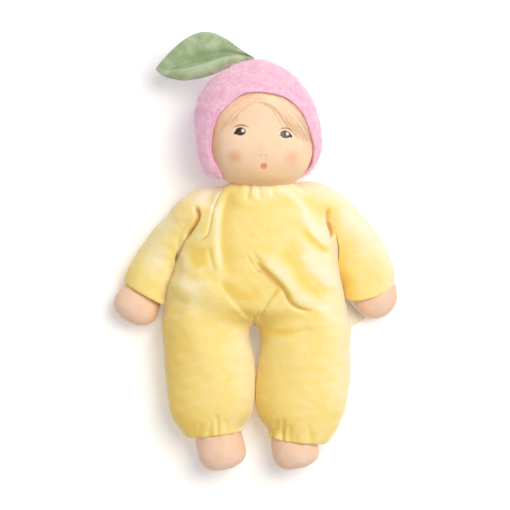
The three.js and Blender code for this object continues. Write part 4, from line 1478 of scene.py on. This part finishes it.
@dataclass
class Bag:
    """A hand or a foot: a stuffed jersey bag that comes out of a hem."""

    root: Point2
    tip: Point2
    half_width: float
    half_depth: float
    height: float
    tuck: float = 9.0
    outline: tuple[Point2, ...] = (
        (0.0, 0.0), (0.02, 0.55), (0.06, 0.74), (0.16, 0.80), (0.28, 0.84), (0.42, 0.95), (0.58, 1.0),
        (0.72, 0.97), (0.84, 0.84), (0.93, 0.60), (0.985, 0.28), (1.0, 0.0),
    )
    rows: int = 90
    columns: int = 110
    squareness: float = 2.1

    def surface(self) -> Surface:
        """The closed bag, narrow inside the hem where thread ties it.

        Returns:
            The bag.
        """
        heading = unit(np.array([*self.tip, 0.0]) - np.array([*self.root, 0.0]))
        start = np.array([*self.root, self.height]) - heading * self.tuck
        length = float(np.linalg.norm(np.array([*self.tip, self.height]) - start))
        share = (1 - np.cos(np.pi * np.linspace(0, 1, self.rows + 2)[1:-1])) / 2
        line = curve_through(self.outline, share)
        stations = Stations(
            start + heading * (line[:, :1] * length),
            np.tile(np.cross(UP, heading), (self.rows, 1)),
            line[:, 1] * self.half_width,
            line[:, 1] * self.half_depth,
            self.squareness,
        )
        bag = stations.surface(self.columns)
        wave = 0.18 * np.sin(0.5 * bag.points[:, 0] + 0.3) * np.sin(0.45 * bag.points[:, 1])
        bag.points = on_the_ground(bag.points + bag.normals() * wave[:, None])
        return bag


# A bag that is widest where it leaves the hem.
BROAD_BAG = (
    (0.0, 0.0), (0.02, 0.55), (0.06, 0.76), (0.16, 0.86), (0.28, 0.95), (0.42, 1.0), (0.56, 0.98),
    (0.70, 0.88), (0.82, 0.72), (0.92, 0.48), (0.98, 0.22), (1.0, 0.0),
)

# A bag that keeps its width nearly to its end.
BLUNT_BAG = (
    (0.0, 0.0), (0.02, 0.6), (0.06, 0.8), (0.16, 0.88), (0.28, 0.94), (0.42, 0.98), (0.58, 1.0),
    (0.72, 0.99), (0.84, 0.90), (0.93, 0.70), (0.985, 0.38), (1.0, 0.0),
)


@dataclass
class SideTab:
    """The bare tape tab in the side seam, which falls to the ground and lies there."""

    seam: tuple[Point2, Point2] = ((60.0, -28.2), (58.0, -41.0))
    end: tuple[Point2, Point2] = ((76.2, -43.4), (66.0, -49.8))
    path: tuple[Point2, ...] = (
        (0, 19), (0.8, 12), (2.0, 6.5), (4.5, 2.4), (8.0, 1.2), (11.0, 1.3), (14.5, 1.0),
    )
    thickness: float = 0.75
    rows: int = 60
    columns: int = 16

    def surface(self) -> Surface:
        """The closed strip, with rounded edges.

        Returns:
            The strip.
        """
        line = curve_through(self.path, np.linspace(0, 1, self.rows))
        step = unit(np.gradient(line, axis=0))
        normal = np.column_stack([-step[:, 1], step[:, 0]])
        across = np.linspace(0, 1, self.columns)
        edge = np.sqrt(1 - (2 * across - 1) ** 8) * self.thickness / 2
        edge = np.maximum(edge, 0.05)
        sheet = []
        for way in (1, -1):
            out = line[:, None] + normal[:, None] * (way * edge)[None, :, None]
            share = (out[..., 0] / self.path[-1][0])[..., None]
            seam, end = (
                np.array(first) + across[None, :, None] * np.subtract(last, first)
                for first, last in (self.seam, self.end)
            )
            flat = seam + share * (end - seam)
            sheet.append(np.concatenate([flat, out[..., 1:]], axis=2))
        rows = np.concatenate([sheet[0], sheet[1][:, ::-1]], axis=1)
        rows[..., 2] = np.maximum(rows[..., 2], 0.25)
        return Surface.grid(rows, rows[0].mean(0), rows[-1].mean(0))


@dataclass
class Neck:
    """The jersey neck between head and suit, which the chin hides."""

    centre: Point2 = (2.5, 39.3)
    from_place: float = 28.0
    to_place: float = 60.0
    radius: float = 8.5

    def surface(self) -> Surface:
        """The closed neck, with small gathers where the head's cloth is tied.

        Returns:
            The neck.
        """
        place = np.linspace(self.from_place, self.to_place, 30)
        turn = 2 * np.pi * np.arange(64) / 64
        end = np.minimum((place - self.from_place) / 4, (self.to_place - place) / 6)
        radius = self.radius * np.sqrt(np.clip(end, 0.02, 1))[:, None] + 0.3 * np.cos(16 * turn)[None]
        rows = np.stack(
            [
                self.centre[0] + radius * np.sin(turn),
                np.repeat(place[:, None], 64, axis=1),
                self.centre[1] + radius * np.cos(turn),
            ],
            axis=2,
        )
        return Surface.grid(rows, rows[0].mean(0), rows[-1].mean(0))


def linear(text: str) -> tuple[float, float, float, float]:
    """The linear colour of an sRGB one such as #fbe28d.

    Each channel c becomes c / 12.92 up to 0.04045, and ((c + 0.055) / 1.055) to the power 2.4 above.

    Args:
        text: The colour as a # and six hexadecimal digits.

    Returns:
        Red, green, blue and a full alpha.
    """
    channels = [int(text[k : k + 2], 16) / 255 for k in (1, 3, 5)]
    red, green, blue = (c / 12.92 if c <= 0.04045 else ((c + 0.055) / 1.055) ** 2.4 for c in channels)
    return red, green, blue, 1.0


def add(
    tree: Tree, kind: str, inputs: dict[str | int, Any], output: str | int = 0, **settings: Any
) -> Socket:
    """Adds a node to a tree.

    Args:
        tree: The node tree.
        kind: The node's type, without its first word.
        inputs: For an input's name or number, the output to join to it, or the value or the sRGB
            colour to set on it.
        output: The name or number of the output that is asked for.
        settings: The node's own fields.

    Returns:
        The output.
    """
    made = tree.nodes.new(f"ShaderNode{kind}")
    for name, value in settings.items():
        setattr(made, name, value)
    for key, value in inputs.items():
        if isinstance(value, Socket):
            tree.links.new(value, made.inputs[key])
        else:
            made.inputs[key].default_value = linear(value) if isinstance(value, str) else value
    return made.outputs[output]


@dataclass(frozen=True)
class Pattern:
    """Values over a surface: clouds, ribs, or a number that each point of the mesh carries.

    The size is about a cloud's, or a rib's width, in millimetres. Slower clouds push the places by
    up to the swirl, and the places may be drawn out along the axes and turned about Z. Ribs across
    two axes are multiplied.
    """

    size: float = 1.0
    detail: float = 2.0
    stretch: Point3 = (1.0, 1.0, 1.0)
    turn: float = 0.0
    roughness: float = 0.5
    swirl: float = 0.0
    swirl_size: float = 7.0
    ribs: str = ""
    distortion: float = 0.4
    stored: str = ""

    def values(self, tree: Tree, place: Socket) -> Socket:
        """The output of the values at an output of places.

        Args:
            tree: The node tree.
            place: The output of the places.

        Returns:
            The output.
        """
        if self.stored:
            return add(tree, "Attribute", {}, "Fac", attribute_name=self.stored)
        if self.swirl:
            slow = {"Vector": place, "Scale": 1 / (self.swirl_size * MM), "Detail": 1.0}
            turn = add(tree, "TexNoise", slow, "Color")
            away = add(tree, "VectorMath", {0: turn, 1: (0.5, 0.5, 0.5)}, operation="SUBTRACT")
            push = add(tree, "VectorMath", {0: away, "Scale": self.swirl * MM}, operation="SCALE")
            place = add(tree, "VectorMath", {0: place, 1: push}, operation="ADD")
        drawn = {"Vector": place, "Rotation": (0.0, 0.0, self.turn), "Scale": self.stretch}
        inputs = {"Vector": add(tree, "Mapping", drawn), "Detail": self.detail}
        if not self.ribs:
            inputs |= {"Scale": 1 / (self.size * MM), "Roughness": self.roughness}
            return add(tree, "TexNoise", inputs)
        inputs |= {"Scale": np.pi / (10 * self.size * MM), "Distortion": self.distortion}
        waves = [add(tree, "TexWave", inputs, "Fac", bands_direction=way) for way in self.ribs]
        if len(waves) == 1:
            return waves[0]
        return add(tree, "Math", dict(enumerate(waves)), operation="MULTIPLY")


@dataclass(frozen=True)
class Layer:
    """A colour over what is under it, by a share that goes with a pattern's values.

    The share is 0 where the value is at the start, or before it, and the most from the end on.
    """

    colour: str
    pattern: Pattern
    start: float = 0.0
    end: float = 1.0
    most: float = 1.0
    ease: str = "LINEAR"

    def paint(self, tree: Tree, place: Socket, under: Socket | str) -> Socket:
        """The output of the colour under the layer with the layer over it.

        Args:
            tree: The node tree.
            place: The output of the places.
            under: The colour under the layer.

        Returns:
            The output.
        """
        ramp = {0: self.pattern.values(tree, place), 1: self.start, 2: self.end, 3: 0.0, 4: self.most}
        share = add(tree, "MapRange", ramp, interpolation_type=self.ease)
        return add(tree, "Mix", {0: share, 6: under, 7: self.colour}, 2, data_type="RGBA")


@dataclass(frozen=True)
class Mark:
    """A painted mark: an ellipse, or a crescent where a second ellipse is cut from it.

    The cut's offset is in the ellipse's own turned frame.
    """

    colour: str
    centre: Point2
    radii: Point2
    angle: float = 0.0
    soft: float = 0.25
    strength: float = 1.0
    cut_offset: Point2 | None = None
    cut_radii: Point2 = (1.0, 1.0)

    def inside(self, tree: Tree, place: Socket, offset: Point2, radii: Point2) -> Socket:
        """The output that is 1 inside one of the mark's ellipses and fades to 0 over its edge.

        Args:
            tree: The node tree.
            place: The output of the places.
            offset: The ellipse's offset from the mark's centre.
            radii: The ellipse's radii.

        Returns:
            The output.
        """
        turn = np.radians(self.angle)
        x = self.centre[0] + offset[0] * np.cos(turn) - offset[1] * np.sin(turn)
        y = self.centre[1] + offset[0] * np.sin(turn) + offset[1] * np.cos(turn)
        frame_of_ellipse = {
            "Vector": place,
            "Location": (x * MM, y * MM, 0.0),
            "Rotation": (0.0, 0.0, turn),
            "Scale": (radii[0] * MM, radii[1] * MM, 1e6),
        }
        near = add(tree, "Mapping", frame_of_ellipse, vector_type="TEXTURE")
        far = add(tree, "VectorMath", {0: near}, "Value", operation="LENGTH")
        ramp = {0: far, 1: 1 + self.soft, 2: max(1 - self.soft, 0.0), 3: 0.0, 4: 1.0}
        return add(tree, "MapRange", ramp, interpolation_type="SMOOTHSTEP")

    def paint(self, tree: Tree, place: Socket, under: Socket, front: Socket) -> Socket:
        """The output of the colour under the mark with the mark painted on it.

        Args:
            tree: The node tree.
            place: The output of the places.
            under: The colour under the mark.
            front: The output that is 1 on the front of the head and 0 behind.

        Returns:
            The output.
        """
        factors = [self.inside(tree, place, (0.0, 0.0), self.radii), front, self.strength]
        if self.cut_offset is not None:
            cut = self.inside(tree, place, self.cut_offset, self.cut_radii)
            factors.append(add(tree, "Math", {0: 1.0, 1: cut}, operation="SUBTRACT"))
        share = factors[0]
        for factor in factors[1:]:
            share = add(tree, "Math", {0: share, 1: factor}, operation="MULTIPLY")
        return add(tree, "Mix", {0: share, 6: under, 7: self.colour}, 2, data_type="RGBA")


FACE = (
    # Painted reflection: yellow light from the suit on the chin.
    Mark("#ffcf84", (4.5, 47.5), (26.0, 11.0), soft=0.95, strength=0.6),
    # Painted shade on the face's left edge, beside the hat.
    Mark("#cf9664", (-31.5, 66.0), (7.5, 21.0), soft=0.9, strength=0.6),
    Mark("#ef9866", (-13.6, 65.3), (3.9, 3.6), soft=0.9, strength=0.58),
    Mark("#f4a47c", (24.5, 64.6), (4.4, 4.0), soft=0.9, strength=0.42),
    Mark("#e9906f", (5.86, 59.05), (2.2, 1.9), soft=0.32, strength=0.9),
    Mark("#e9906f", (4.98, 59.93), (1.2, 1.0), soft=0.5, strength=0.7),
    Mark("#e9906f", (6.83, 59.93), (1.2, 1.0), soft=0.5, strength=0.7),
    Mark("#b98d74", (4.29, 66.27), (0.55, 0.45), soft=0.6, strength=0.6),
    Mark("#b98d74", (7.42, 66.27), (0.55, 0.45), soft=0.6, strength=0.6),
    Mark("#ffeede", (-9.96, 82.18), (4.9, 3.8), soft=0.35, strength=0.4),
    Mark("#45291f", (-11.91, 81.4), (2.3, 1.15), angle=20, soft=0.28),
    Mark("#38211a", (-9.66, 82.08), (3.5, 2.75), soft=0.2),
    Mark("#614236", (-10.05, 81.2), (1.9, 1.2), soft=0.8, strength=0.7),
    Mark("#c9bdb8", (-7.91, 82.76), (1.5, 1.4), soft=0.6, strength=0.5),
    Mark("#ffffff", (-8, 82.57), (0.85, 0.95), soft=0.45),
    Mark(
        "#ab7755", (-9.27, 81.98), (6.3, 4.9), soft=0.07, strength=0.85, cut_offset=(0.0, -4.0),
        cut_radii=(10.6, 7.6),
    ),
    Mark("#ffeede", (20.4, 80.03), (4.7, 3.6), soft=0.35, strength=0.4),
    Mark("#8a7468", (16.88, 79.45), (1.3, 0.45), angle=20, soft=0.4, strength=0.5),
    Mark("#4b332c", (23.52, 79.25), (1.5, 0.95), angle=-30, soft=0.35),
    Mark("#7f736e", (20.2, 80.18), (3.35, 2.5), angle=-6, soft=0.16),
    Mark(
        "#53413c", (20.2, 80.18), (3.35, 2.5), angle=-6, soft=0.18, strength=0.8, cut_offset=(-0.2, -0.9),
        cut_radii=(3.4, 2.5),
    ),
    Mark(
        "#5d4339", (20.2, 80.18), (3.35, 2.5), angle=-6, soft=0.18, strength=0.75, cut_offset=(-0.5, 0.7),
        cut_radii=(3.3, 2.4),
    ),
    Mark("#4b332c", (22.74, 79.64), (1.1, 1.3), soft=0.5, strength=0.9),
    Mark("#4d4142", (20.69, 80.52), (1.25, 1.25), soft=0.5, strength=0.75),
    Mark("#ffffff", (21.57, 80.62), (0.9, 1.1), soft=0.42),
    Mark(
        "#a86e56", (20.59, 80.81), (5.0, 4.05), angle=-8, soft=0.08, strength=0.85, cut_offset=(0.0, -3.5),
        cut_radii=(7.6, 6.5),
    ),
)


@dataclass(frozen=True)
class Finish:
    """A finish: its colour with layers and marks over it, its relief, and how it scatters light.

    The relief is the sum of patterns, each times its height in millimetres.
    """

    name: str
    colour: str
    layers: tuple[Layer, ...]
    relief: tuple[tuple[Pattern, float], ...]
    marks: tuple[Mark, ...] = ()
    roughness: float = 0.9
    sheen: float = 0.2
    sheen_roughness: float = 0.5
    sheen_tint: str = "#ffffff"
    specular: float = 0.2
    glow: float = 0.0
    glow_colour: str = "#ffffff"

    @cache
    def build(self) -> bpy.types.Material:
        """Makes the material, once.

        Returns:
            The material.
        """
        made = bpy.data.materials.new(self.name)
        made.use_nodes = True
        tree = made.node_tree
        shader = tree.nodes["Principled BSDF"].inputs
        place = add(tree, "TexCoord", {}, "Object")
        colour = self.colour
        for layer in self.layers:
            colour = layer.paint(tree, place, colour)
        up = add(tree, "SeparateXYZ", {0: place}, 2)
        front = add(tree, "Math", {0: up, 1: HEAD_FORM.height * MM}, operation="GREATER_THAN")
        for mark in self.marks:
            colour = mark.paint(tree, place, colour, front)
        height = 0.0
        for pattern, size in self.relief:
            rise = {0: pattern.values(tree, place), 1: size * MM, 2: height}
            height = add(tree, "Math", rise, operation="MULTIPLY_ADD")
        tree.links.new(colour, shader["Base Color"])
        tree.links.new(add(tree, "Bump", {"Height": height, "Distance": 1.0}), shader["Normal"])
        shader["Emission Color"].default_value = linear(self.glow_colour)
        shader["Emission Strength"].default_value = self.glow
        shader["Roughness"].default_value = self.roughness
        shader["Specular IOR Level"].default_value = self.specular
        shader["Sheen Weight"].default_value = self.sheen
        shader["Sheen Roughness"].default_value = self.sheen_roughness
        shader["Sheen Tint"].default_value = linear(self.sheen_tint)
        return made


def skin_jersey(name: str, colour: str, pale: str, warm: str, marks: tuple[Mark, ...] = ()) -> Finish:
    """Fine cotton jersey, with ribs drawn coarser than the real two in each millimetre."""
    layers = (Layer(pale, Pattern(9.0), 0.35, 0.68, 0.7), Layer(warm, SKIN_RIBS, most=0.22))
    return Finish(name, colour, layers, ((SKIN_RIBS, 0.03), (Pattern(0.8), 0.03)), marks, sheen=0.1)


def loose_fibre(name: str, colour: str, pale: str, deep: str, **light: Any) -> Finish:
    """Animal fibre, each pale where its tone is near 1 and deep where it is near 0.

    Args:
        name: The material's name.
        colour: The colour of most fibres.
        pale: The palest fibres' colour.
        deep: The deepest fibres' colour.
        light: Other fields of the finish.

    Returns:
        The finish.
    """
    tone = Pattern(stored="tone")
    layers = (Layer(pale, tone, 0.5, 0.95), Layer(deep, tone, 0.5, 0.05))
    return Finish(name, colour, layers, ((Pattern(0.4), 0.005),), **light)


SKIN_RIBS = Pattern(1.4, 1.0, ribs="X", distortion=0.25)
LEAF_RIBS = Pattern(1.1, turn=np.radians(10), ribs="X", distortion=0.8)
LEAF_PAINTED_LIGHT_AND_SHADE = Pattern(stored="fold")
WEAVE = Pattern(0.9, ribs="XY")
# The nap is drawn coarser than its real tufts, which no picture of this size shows.
NAP = Pattern(3.4, 7.0, (0.5, 1.0, 1.0), roughness=0.7)
# Painted light on the velour: pale where it faces the light, golden where it faces away.
PAINTED_LIGHT_ON_VELOUR = Pattern(stored="nap")
MATTED = Pattern(0.7, 5.0, (1.0, 0.35, 0.6), roughness=0.62, swirl=12.0)
MOTTLES = Pattern(3.4, 4.0)

FINISHES = {
    # Yellow cotton velour, mottled in its nap, with painted highlight where it faces the light, painted
    # shade where it faces away and in its creases, and painted patches of both.
    "velour": Finish(
        "cotton velour",
        "#fde48e",
        (
            Layer("#fff2d0", Pattern(7.0), 0.42, 0.72, 0.22),
            Layer("#fbd76f", NAP, 0.52, 0.34, 0.3),
            # Painted shade where the velour faces away from the light, then painted highlight where it faces
            # it.
            Layer("#fbd76f", PAINTED_LIGHT_ON_VELOUR, -0.05, -0.6),
            Layer("#fff2d0", PAINTED_LIGHT_ON_VELOUR, 0.12, 0.8),
            # Painted shade, deepest in the creases.
            Layer("#d4a14c", Pattern(stored="fold"), -1.1, -3.6, 0.85, "SMOOTHSTEP"),
        ),
        ((NAP, 0.42),),
        sheen=0.7,
        sheen_roughness=0.4,
        sheen_tint="#fff8ea",
        specular=0.08,
    ),
    # Skin-coloured cotton jersey, of hands, feet and neck: matt, in soft patches, faintly ribbed.
    "skin": skin_jersey("skin jersey", "#f6cfb2", "#f9dbc2", "#efbf9f"),
    # The same jersey, with the painted face: dull colour that has sunk into the cloth, a painted reflection
    # of the suit on the chin and painted shade at the left edge.
    "face": skin_jersey("skin jersey with painted face", "#fbd8b6", "#fee0c0", "#f5c9a4", FACE),
    # Thick fulled pink wool: mottled, with matted fibres, and with painted shade on its inner side.
    "felt": Finish(
        "fulled wool",
        "#fdc8df",
        (
            Layer("#f3a6ca", MOTTLES, 0.50, 0.32, 0.6),
            Layer("#ffdfee", MOTTLES, 0.50, 0.68, 0.5),
            Layer("#f3a6ca", MATTED, 0.50, 0.34, 0.55),
            Layer("#fff0f7", MATTED, 0.53, 0.70, 0.6),
            # Painted shade on the inner side.
            Layer("#e28fa0", Pattern(stored="inner")),
        ),
        ((MATTED, 0.45),),
        sheen=0.8,
        sheen_tint="#ffeef5",
    ),
    # The same wool as single fibres: pale and airy, with a painted glow that lightens their shade.
    "fluff": loose_fibre("loose wool", "#fddcea", "#fff6fa", "#f0a0c4", glow=0.18, glow_colour="#ffd6e6"),
    # Green cotton jersey, ribbed across the leaf, with painted highlight on its fold's crest and painted
    # shade beside it.
    "leaf": Finish(
        "leaf jersey",
        "#9fb389",
        (
            Layer("#c6d6b4", Pattern(7.0, 3.0), 0.38, 0.66, 0.8),
            Layer("#93a97c", LEAF_RIBS, most=0.25),
            Layer("#93a97c", LEAF_PAINTED_LIGHT_AND_SHADE, -0.6, -3.4, 0.8),
            Layer("#c6d6b4", LEAF_PAINTED_LIGHT_AND_SHADE, 1.6, 3.8, 0.8),
        ),
        ((LEAF_RIBS, 0.05),),
        sheen=0.15,
    ),
    # Blond mohair, combed: fine strands of pale and darker gold with a soft shine and a painted glow that
    # lightens their shade.
    "mohair": loose_fibre(
        "mohair",
        "#fbd3ac",
        "#ffe8d2",
        "#e6ae80",
        roughness=0.6,
        specular=0.3,
        sheen=0.3,
        sheen_tint="#fff0dc",
        glow=0.12,
        glow_colour="#ffd2a6",
    ),
    # Undyed cotton tape in a plain weave, drawn coarser than its threads: cream and matt.
    "tape": Finish("cotton tape", "#fdf7ea", (Layer("#e4d8bd", WEAVE, most=0.3),), ((WEAVE, 0.05),)),
    # White studio paper: even, with no shine.
    "paper": Finish(
        "studio paper",
        "#ffffff",
        (Layer("#fbfbfb", Pattern(250.0)),),
        ((Pattern(1.11), 0.02),),
        sheen=0.0,
        specular=0.0,
        glow=0.17,
    ),
}


def dressed(made: bpy.types.Object, finish: str, slot: str, *nodes: str) -> bpy.types.Object:
    """Gives a piece its material and hides the solids that it stands for.

    Args:
        made: The piece.
        finish: Its finish, as FINISHES names it.
        slot: Not used.
        nodes: The solids that it stands for.

    Returns:
        The piece.
    """
    made.data.materials.append(FINISHES[finish].build())
    if nodes:
        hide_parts(*nodes)
    return made


def value_on_points(made: bpy.types.Object, name: str, values: Array) -> None:
    """Stores one number for each point of a mesh."""
    layer = made.data.attributes.new(name, "FLOAT", "POINT")
    layer.data.foreach_set("value", values.astype(np.float32))


@dataclass
class SuitMaker:
    """Cuts the suit's one skin into the pieces that move apart, and joins the body piece to the torso."""

    suit: Suit
    arm_reach: float = 28.0
    leg_start: float = 44.6
    leg_reach: float = 27.0
    clearance: float = 0.3
    # The direction the light comes from: velour facing it is painted pale, velour facing away golden.
    toward_the_light: Point3 = (0.62, 0.78, 0.0)

    def leg_heading(self, side: Side) -> Array:
        """The direction in which a leg's bend runs, which is a little outwards and mostly down."""
        return unit(np.array([side.value * 0.2, -0.98, 0.0]))

    def make(self) -> None:
        """Makes the body, the sleeves and the legs."""
        skin, folds, arms, own_side = self.suit.finished()
        normals = skin.normals()
        owner = np.zeros(len(skin.quads), int)
        beyond = [skin.points @ self.leg_heading(side) > self.leg_start for side in Side]
        for k, side in enumerate(Side):
            mine = beyond[k] & (own_side == side.value)
            owner[mine[skin.quads].all(axis=1)] = 3 + k
            owner[(arms[k] > 0.5)[skin.quads].all(axis=1)] = 1 + k
        owner = self.without_islands(skin.quads, owner)
        names = ["body", "sleeve_left", "sleeve_right", "leg_left", "leg_right"]
        nodes = [
            ("suit_front", "suit_back", "body_wool", "neckline_hem"),
            *((f"sleeve_front_{s.word}", f"sleeve_back_{s.word}", f"arm_wool_{s.word}") for s in Side),
            *((f"trouser_front_{s.word}", f"trouser_back_{s.word}", f"leg_wool_{s.word}") for s in Side),
        ]
        for k, (name, stands_for) in enumerate(zip(names, nodes)):
            quads = skin.quads[owner == k]
            used = np.unique(quads)
            number = np.full(len(skin.points), -1)
            number[used] = np.arange(len(used))
            piece = Surface(skin.points[used], number[quads]).object(f"velour_{name}")
            piece.data.normals_split_custom_set_from_vertices(normals[used])
            # The folds' lift with the painted shade between folds, which deepens the velour's colour in
            # creases.
            value_on_points(piece, "fold", folds[used])
            # Painted highlight and shade in patches over the velour.
            painted_patches = sum(patch.rise(skin.points[used, :2]) for patch in PAINTED_LIGHT_AND_SHADE)
            # Painted light: how far each point faces the light, plus the painted patches.
            value_on_points(piece, "nap", normals[used] @ unit(np.array(self.toward_the_light)) + painted_patches)
            dressed(piece, "velour", "velour", *stands_for)
            log.info("%s: %d squares", piece.name, len(quads))
            if k == 0:
                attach(piece, "torso")
                continue
            side = Side.LEFT if k % 2 else Side.RIGHT
            heading = np.array([side.value * 0.9, -0.43, 0.0]) if k < 3 else self.leg_heading(side)
            heading = unit(heading)
            body = f"arm_{side.word}" if k < 3 else f"leg_{side.word}"
            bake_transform(piece)

    def without_islands(self, quads: Indices, owner: Indices) -> Indices:
        """Gives small loose groups of squares to what surrounds them.

        Args:
            quads: The squares.
            owner: The piece that owns each.

        Returns:
            The owners, where each piece is in one group.
        """
        owner = owner.copy()
        edges = np.sort(np.stack([quads, np.roll(quads, -1, axis=1)], axis=2).reshape(-1, 2), axis=1)
        square = np.repeat(np.arange(len(quads)), 4)
        order = np.lexsort((edges[:, 1], edges[:, 0]))
        edges, square = edges[order], square[order]
        twin = np.all(edges[1:] == edges[:-1], axis=1)
        pairs = np.column_stack([square[:-1][twin], square[1:][twin]])
        for piece in range(1, int(owner.max()) + 1):
            label = np.arange(len(quads))
            inside = pairs[(owner[pairs] == piece).all(axis=1)]
            for _ in range(len(quads)):
                low = np.minimum(label[inside[:, 0]], label[inside[:, 1]])
                after = label.copy()
                np.minimum.at(after, inside[:, 0], low)
                np.minimum.at(after, inside[:, 1], low)
                after = after[after]
                if np.array_equal(after, label):
                    break
                label = after
            mine = np.flatnonzero(owner == piece)
            groups, sizes = np.unique(label[mine], return_counts=True)
            main = groups[sizes.argmax()]
            owner[mine[label[mine] != main]] = 0
        return owner


def make_bags() -> None:
    """Makes the hands and the feet."""
    hands = {
        Side.LEFT: Bag((83.4, -24.4), (77.6, -43.2), 14.8, 13.2, 14.2, outline=BROAD_BAG),
        Side.RIGHT: Bag((-77.0, -26.0), (-86.4, -46.0), 15.8, 13.6, 14.2),
    }
    feet = {
        Side.LEFT: Bag((25.6, -125.0), (30.2, -145.2), 15.8, 16.2, 22.0, outline=BLUNT_BAG),
        Side.RIGHT: Bag((-25.6, -121.0), (-19.6, -146.0), 16.4, 16.6, 22.0, outline=BLUNT_BAG),
    }
    for side in Side:
        for name, limb, bag in (("hand", "arm", hands[side]), ("foot", "leg", feet[side])):
            piece = bag.surface().object(f"jersey_{name}_{side.word}")
            nodes = (f"{name}_{part}_{side.word}" for part in ("skin", "wool", "tie_thread"))
            dressed(piece, "skin", "skin_jersey", *nodes)
            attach(piece, f"{limb}_{side.word}")


def make_head() -> None:
    """Makes the head with its hair, the hat with its fibres, the leaf and the neck."""
    head = Head().surface().object("jersey_head")
    dressed(head, "face", "skin_jersey", "head_skin", "head_wool", "eye_line_thread")
    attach(head, "head")
    wisps, normals, tone = Hair().surface()
    fringe = dressed(wisps.object("mohair_fringe"), "mohair", "mohair", "hair_fringe")
    fringe.data.normals_split_custom_set_from_vertices(normals)
    value_on_points(fringe, "tone", tone)
    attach(fringe, "head")
    hat = Hat()
    sheet = hat.surface()
    felt = dressed(sheet.object("felt_hat"), "felt", "wool_felt", "hat_front", "hat_back")
    row = np.concatenate([np.repeat(np.arange(2 * hat.rows + hat.rim_rows), hat.rays), [0, 2 * hat.rows]])
    # Where the painted shade of the hat's inner side is laid on.
    value_on_points(felt, "inner", smoothstep(hat.rows + 1.5, hat.rows + 5.5, row.astype(float)))
    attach(felt, "head")
    fluff, tone = Fuzz().surface(sheet, hat.rows, hat.rays)
    fibres = dressed(fluff.object("hat_fibres"), "fluff", "wool_felt")
    value_on_points(fibres, "tone", tone)
    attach(fibres, "head")
    blade, relief = Leaf().surface()
    leaf = dressed(blade.object("jersey_leaf"), "leaf", "leaf_jersey", "leaf_top", "leaf_underside")
    # The relief is also stored for the leaf's painted highlight and shade.
    value_on_points(leaf, "fold", relief)
    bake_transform(leaf)
    neck = Neck().surface().object("jersey_neck")
    dressed(neck, "skin", "skin_jersey", "neck_wool_roll", "neck_tie_thread")
    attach(neck, "neck")


def make_tab() -> None:
    """Makes the bare tab in the left side seam."""
    tab = dressed(SideTab().surface().object("side_tab"), "tape", "label_tape", "side_label")
    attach(tab, "leg_left")


@dataclass(frozen=True)
class LightPanel:
    """A square of soft light that faces the doll."""

    name: str
    place: Point3
    size: float
    power: float
    colour: str = "#ffffff"

    def build(self) -> None:
        """Makes the light."""
        light = bpy.data.lights.new(self.name, "AREA")
        light.shape = "SQUARE"
        light.size = self.size
        light.energy = self.power
        light.color = linear(self.colour)[:3]
        made = bpy.data.objects.new(self.name, light)
        made.location = self.place
        made.rotation_euler = (-Vector(self.place)).to_track_quat("-Z", "Y").to_euler()
        bpy.context.scene.collection.objects.link(made)


@dataclass(frozen=True)
class Studio:
    """A white paper floor, two soft lights, a white surround and the camera above."""

    floor_half: float = 1.6
    camera_height: float = 2.025
    sensor: float = 36.0
    lens: float = 207.6
    surround: float = 0.40
    surround_colour: str = "#f7f8ff"
    key: LightPanel = LightPanel("window light", (0.8, 0.62, 2.1), 1.3, 39.5, "#fffbf2")
    fill: LightPanel = LightPanel("fill light", (-0.3, -0.6, 1.9), 1.6, 2.0)

    def build(self) -> None:
        """Makes the floor, the lights, the surround and the camera."""
        half = self.floor_half
        mesh = bpy.data.meshes.new("paper_floor")
        corners = [(-half, -half, 0), (half, -half, 0), (half, half, 0), (-half, half, 0)]
        mesh.from_pydata(corners, [], [(0, 1, 2, 3)])
        floor = bpy.data.objects.new("paper_floor", mesh)
        bpy.context.scene.collection.objects.link(floor)
        floor.data.materials.append(FINISHES["paper"].build())
        self.key.build()
        self.fill.build()
        self.build_surround()
        camera = bpy.data.objects.new("camera", bpy.data.cameras.new("camera"))
        camera.data.sensor_width = self.sensor
        camera.data.lens = self.lens
        camera.location = (0.0, 0.0, self.camera_height)
        bpy.context.scene.collection.objects.link(camera)
        bpy.context.scene.camera = camera
        bpy.context.scene.view_settings.view_transform = "Standard"

    def build_surround(self) -> None:
        """Makes a world that is white to look at and gives even, weaker light."""
        world = bpy.data.worlds.new("white surround")
        world.use_nodes = True
        bpy.context.scene.world = world
        tree = world.node_tree
        even = tree.nodes["Background"]
        even.inputs["Color"].default_value = linear(self.surround_colour)
        even.inputs["Strength"].default_value = self.surround
        white = add(tree, "Background", {"Color": "#ffffff", "Strength": 1.0})
        seen = 0.0
        for ray in ("Camera", "Glossy", "Transmission"):
            this = add(tree, "LightPath", {}, f"Is {ray} Ray")
            seen = add(tree, "Math", {0: seen, 1: this}, operation="MAXIMUM")
        shown = add(tree, "MixShader", {0: seen, 1: even.outputs[0], 2: white})
        tree.links.new(shown, tree.nodes["World Output"].inputs["Surface"])


def main() -> None:
    logging.basicConfig(level=logging.INFO, format="%(message)s")
    SuitMaker(Suit()).make()
    make_bags()
    make_head()
    make_tab()
    Studio().build()
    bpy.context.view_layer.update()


if __name__ == "__main__":
    main()
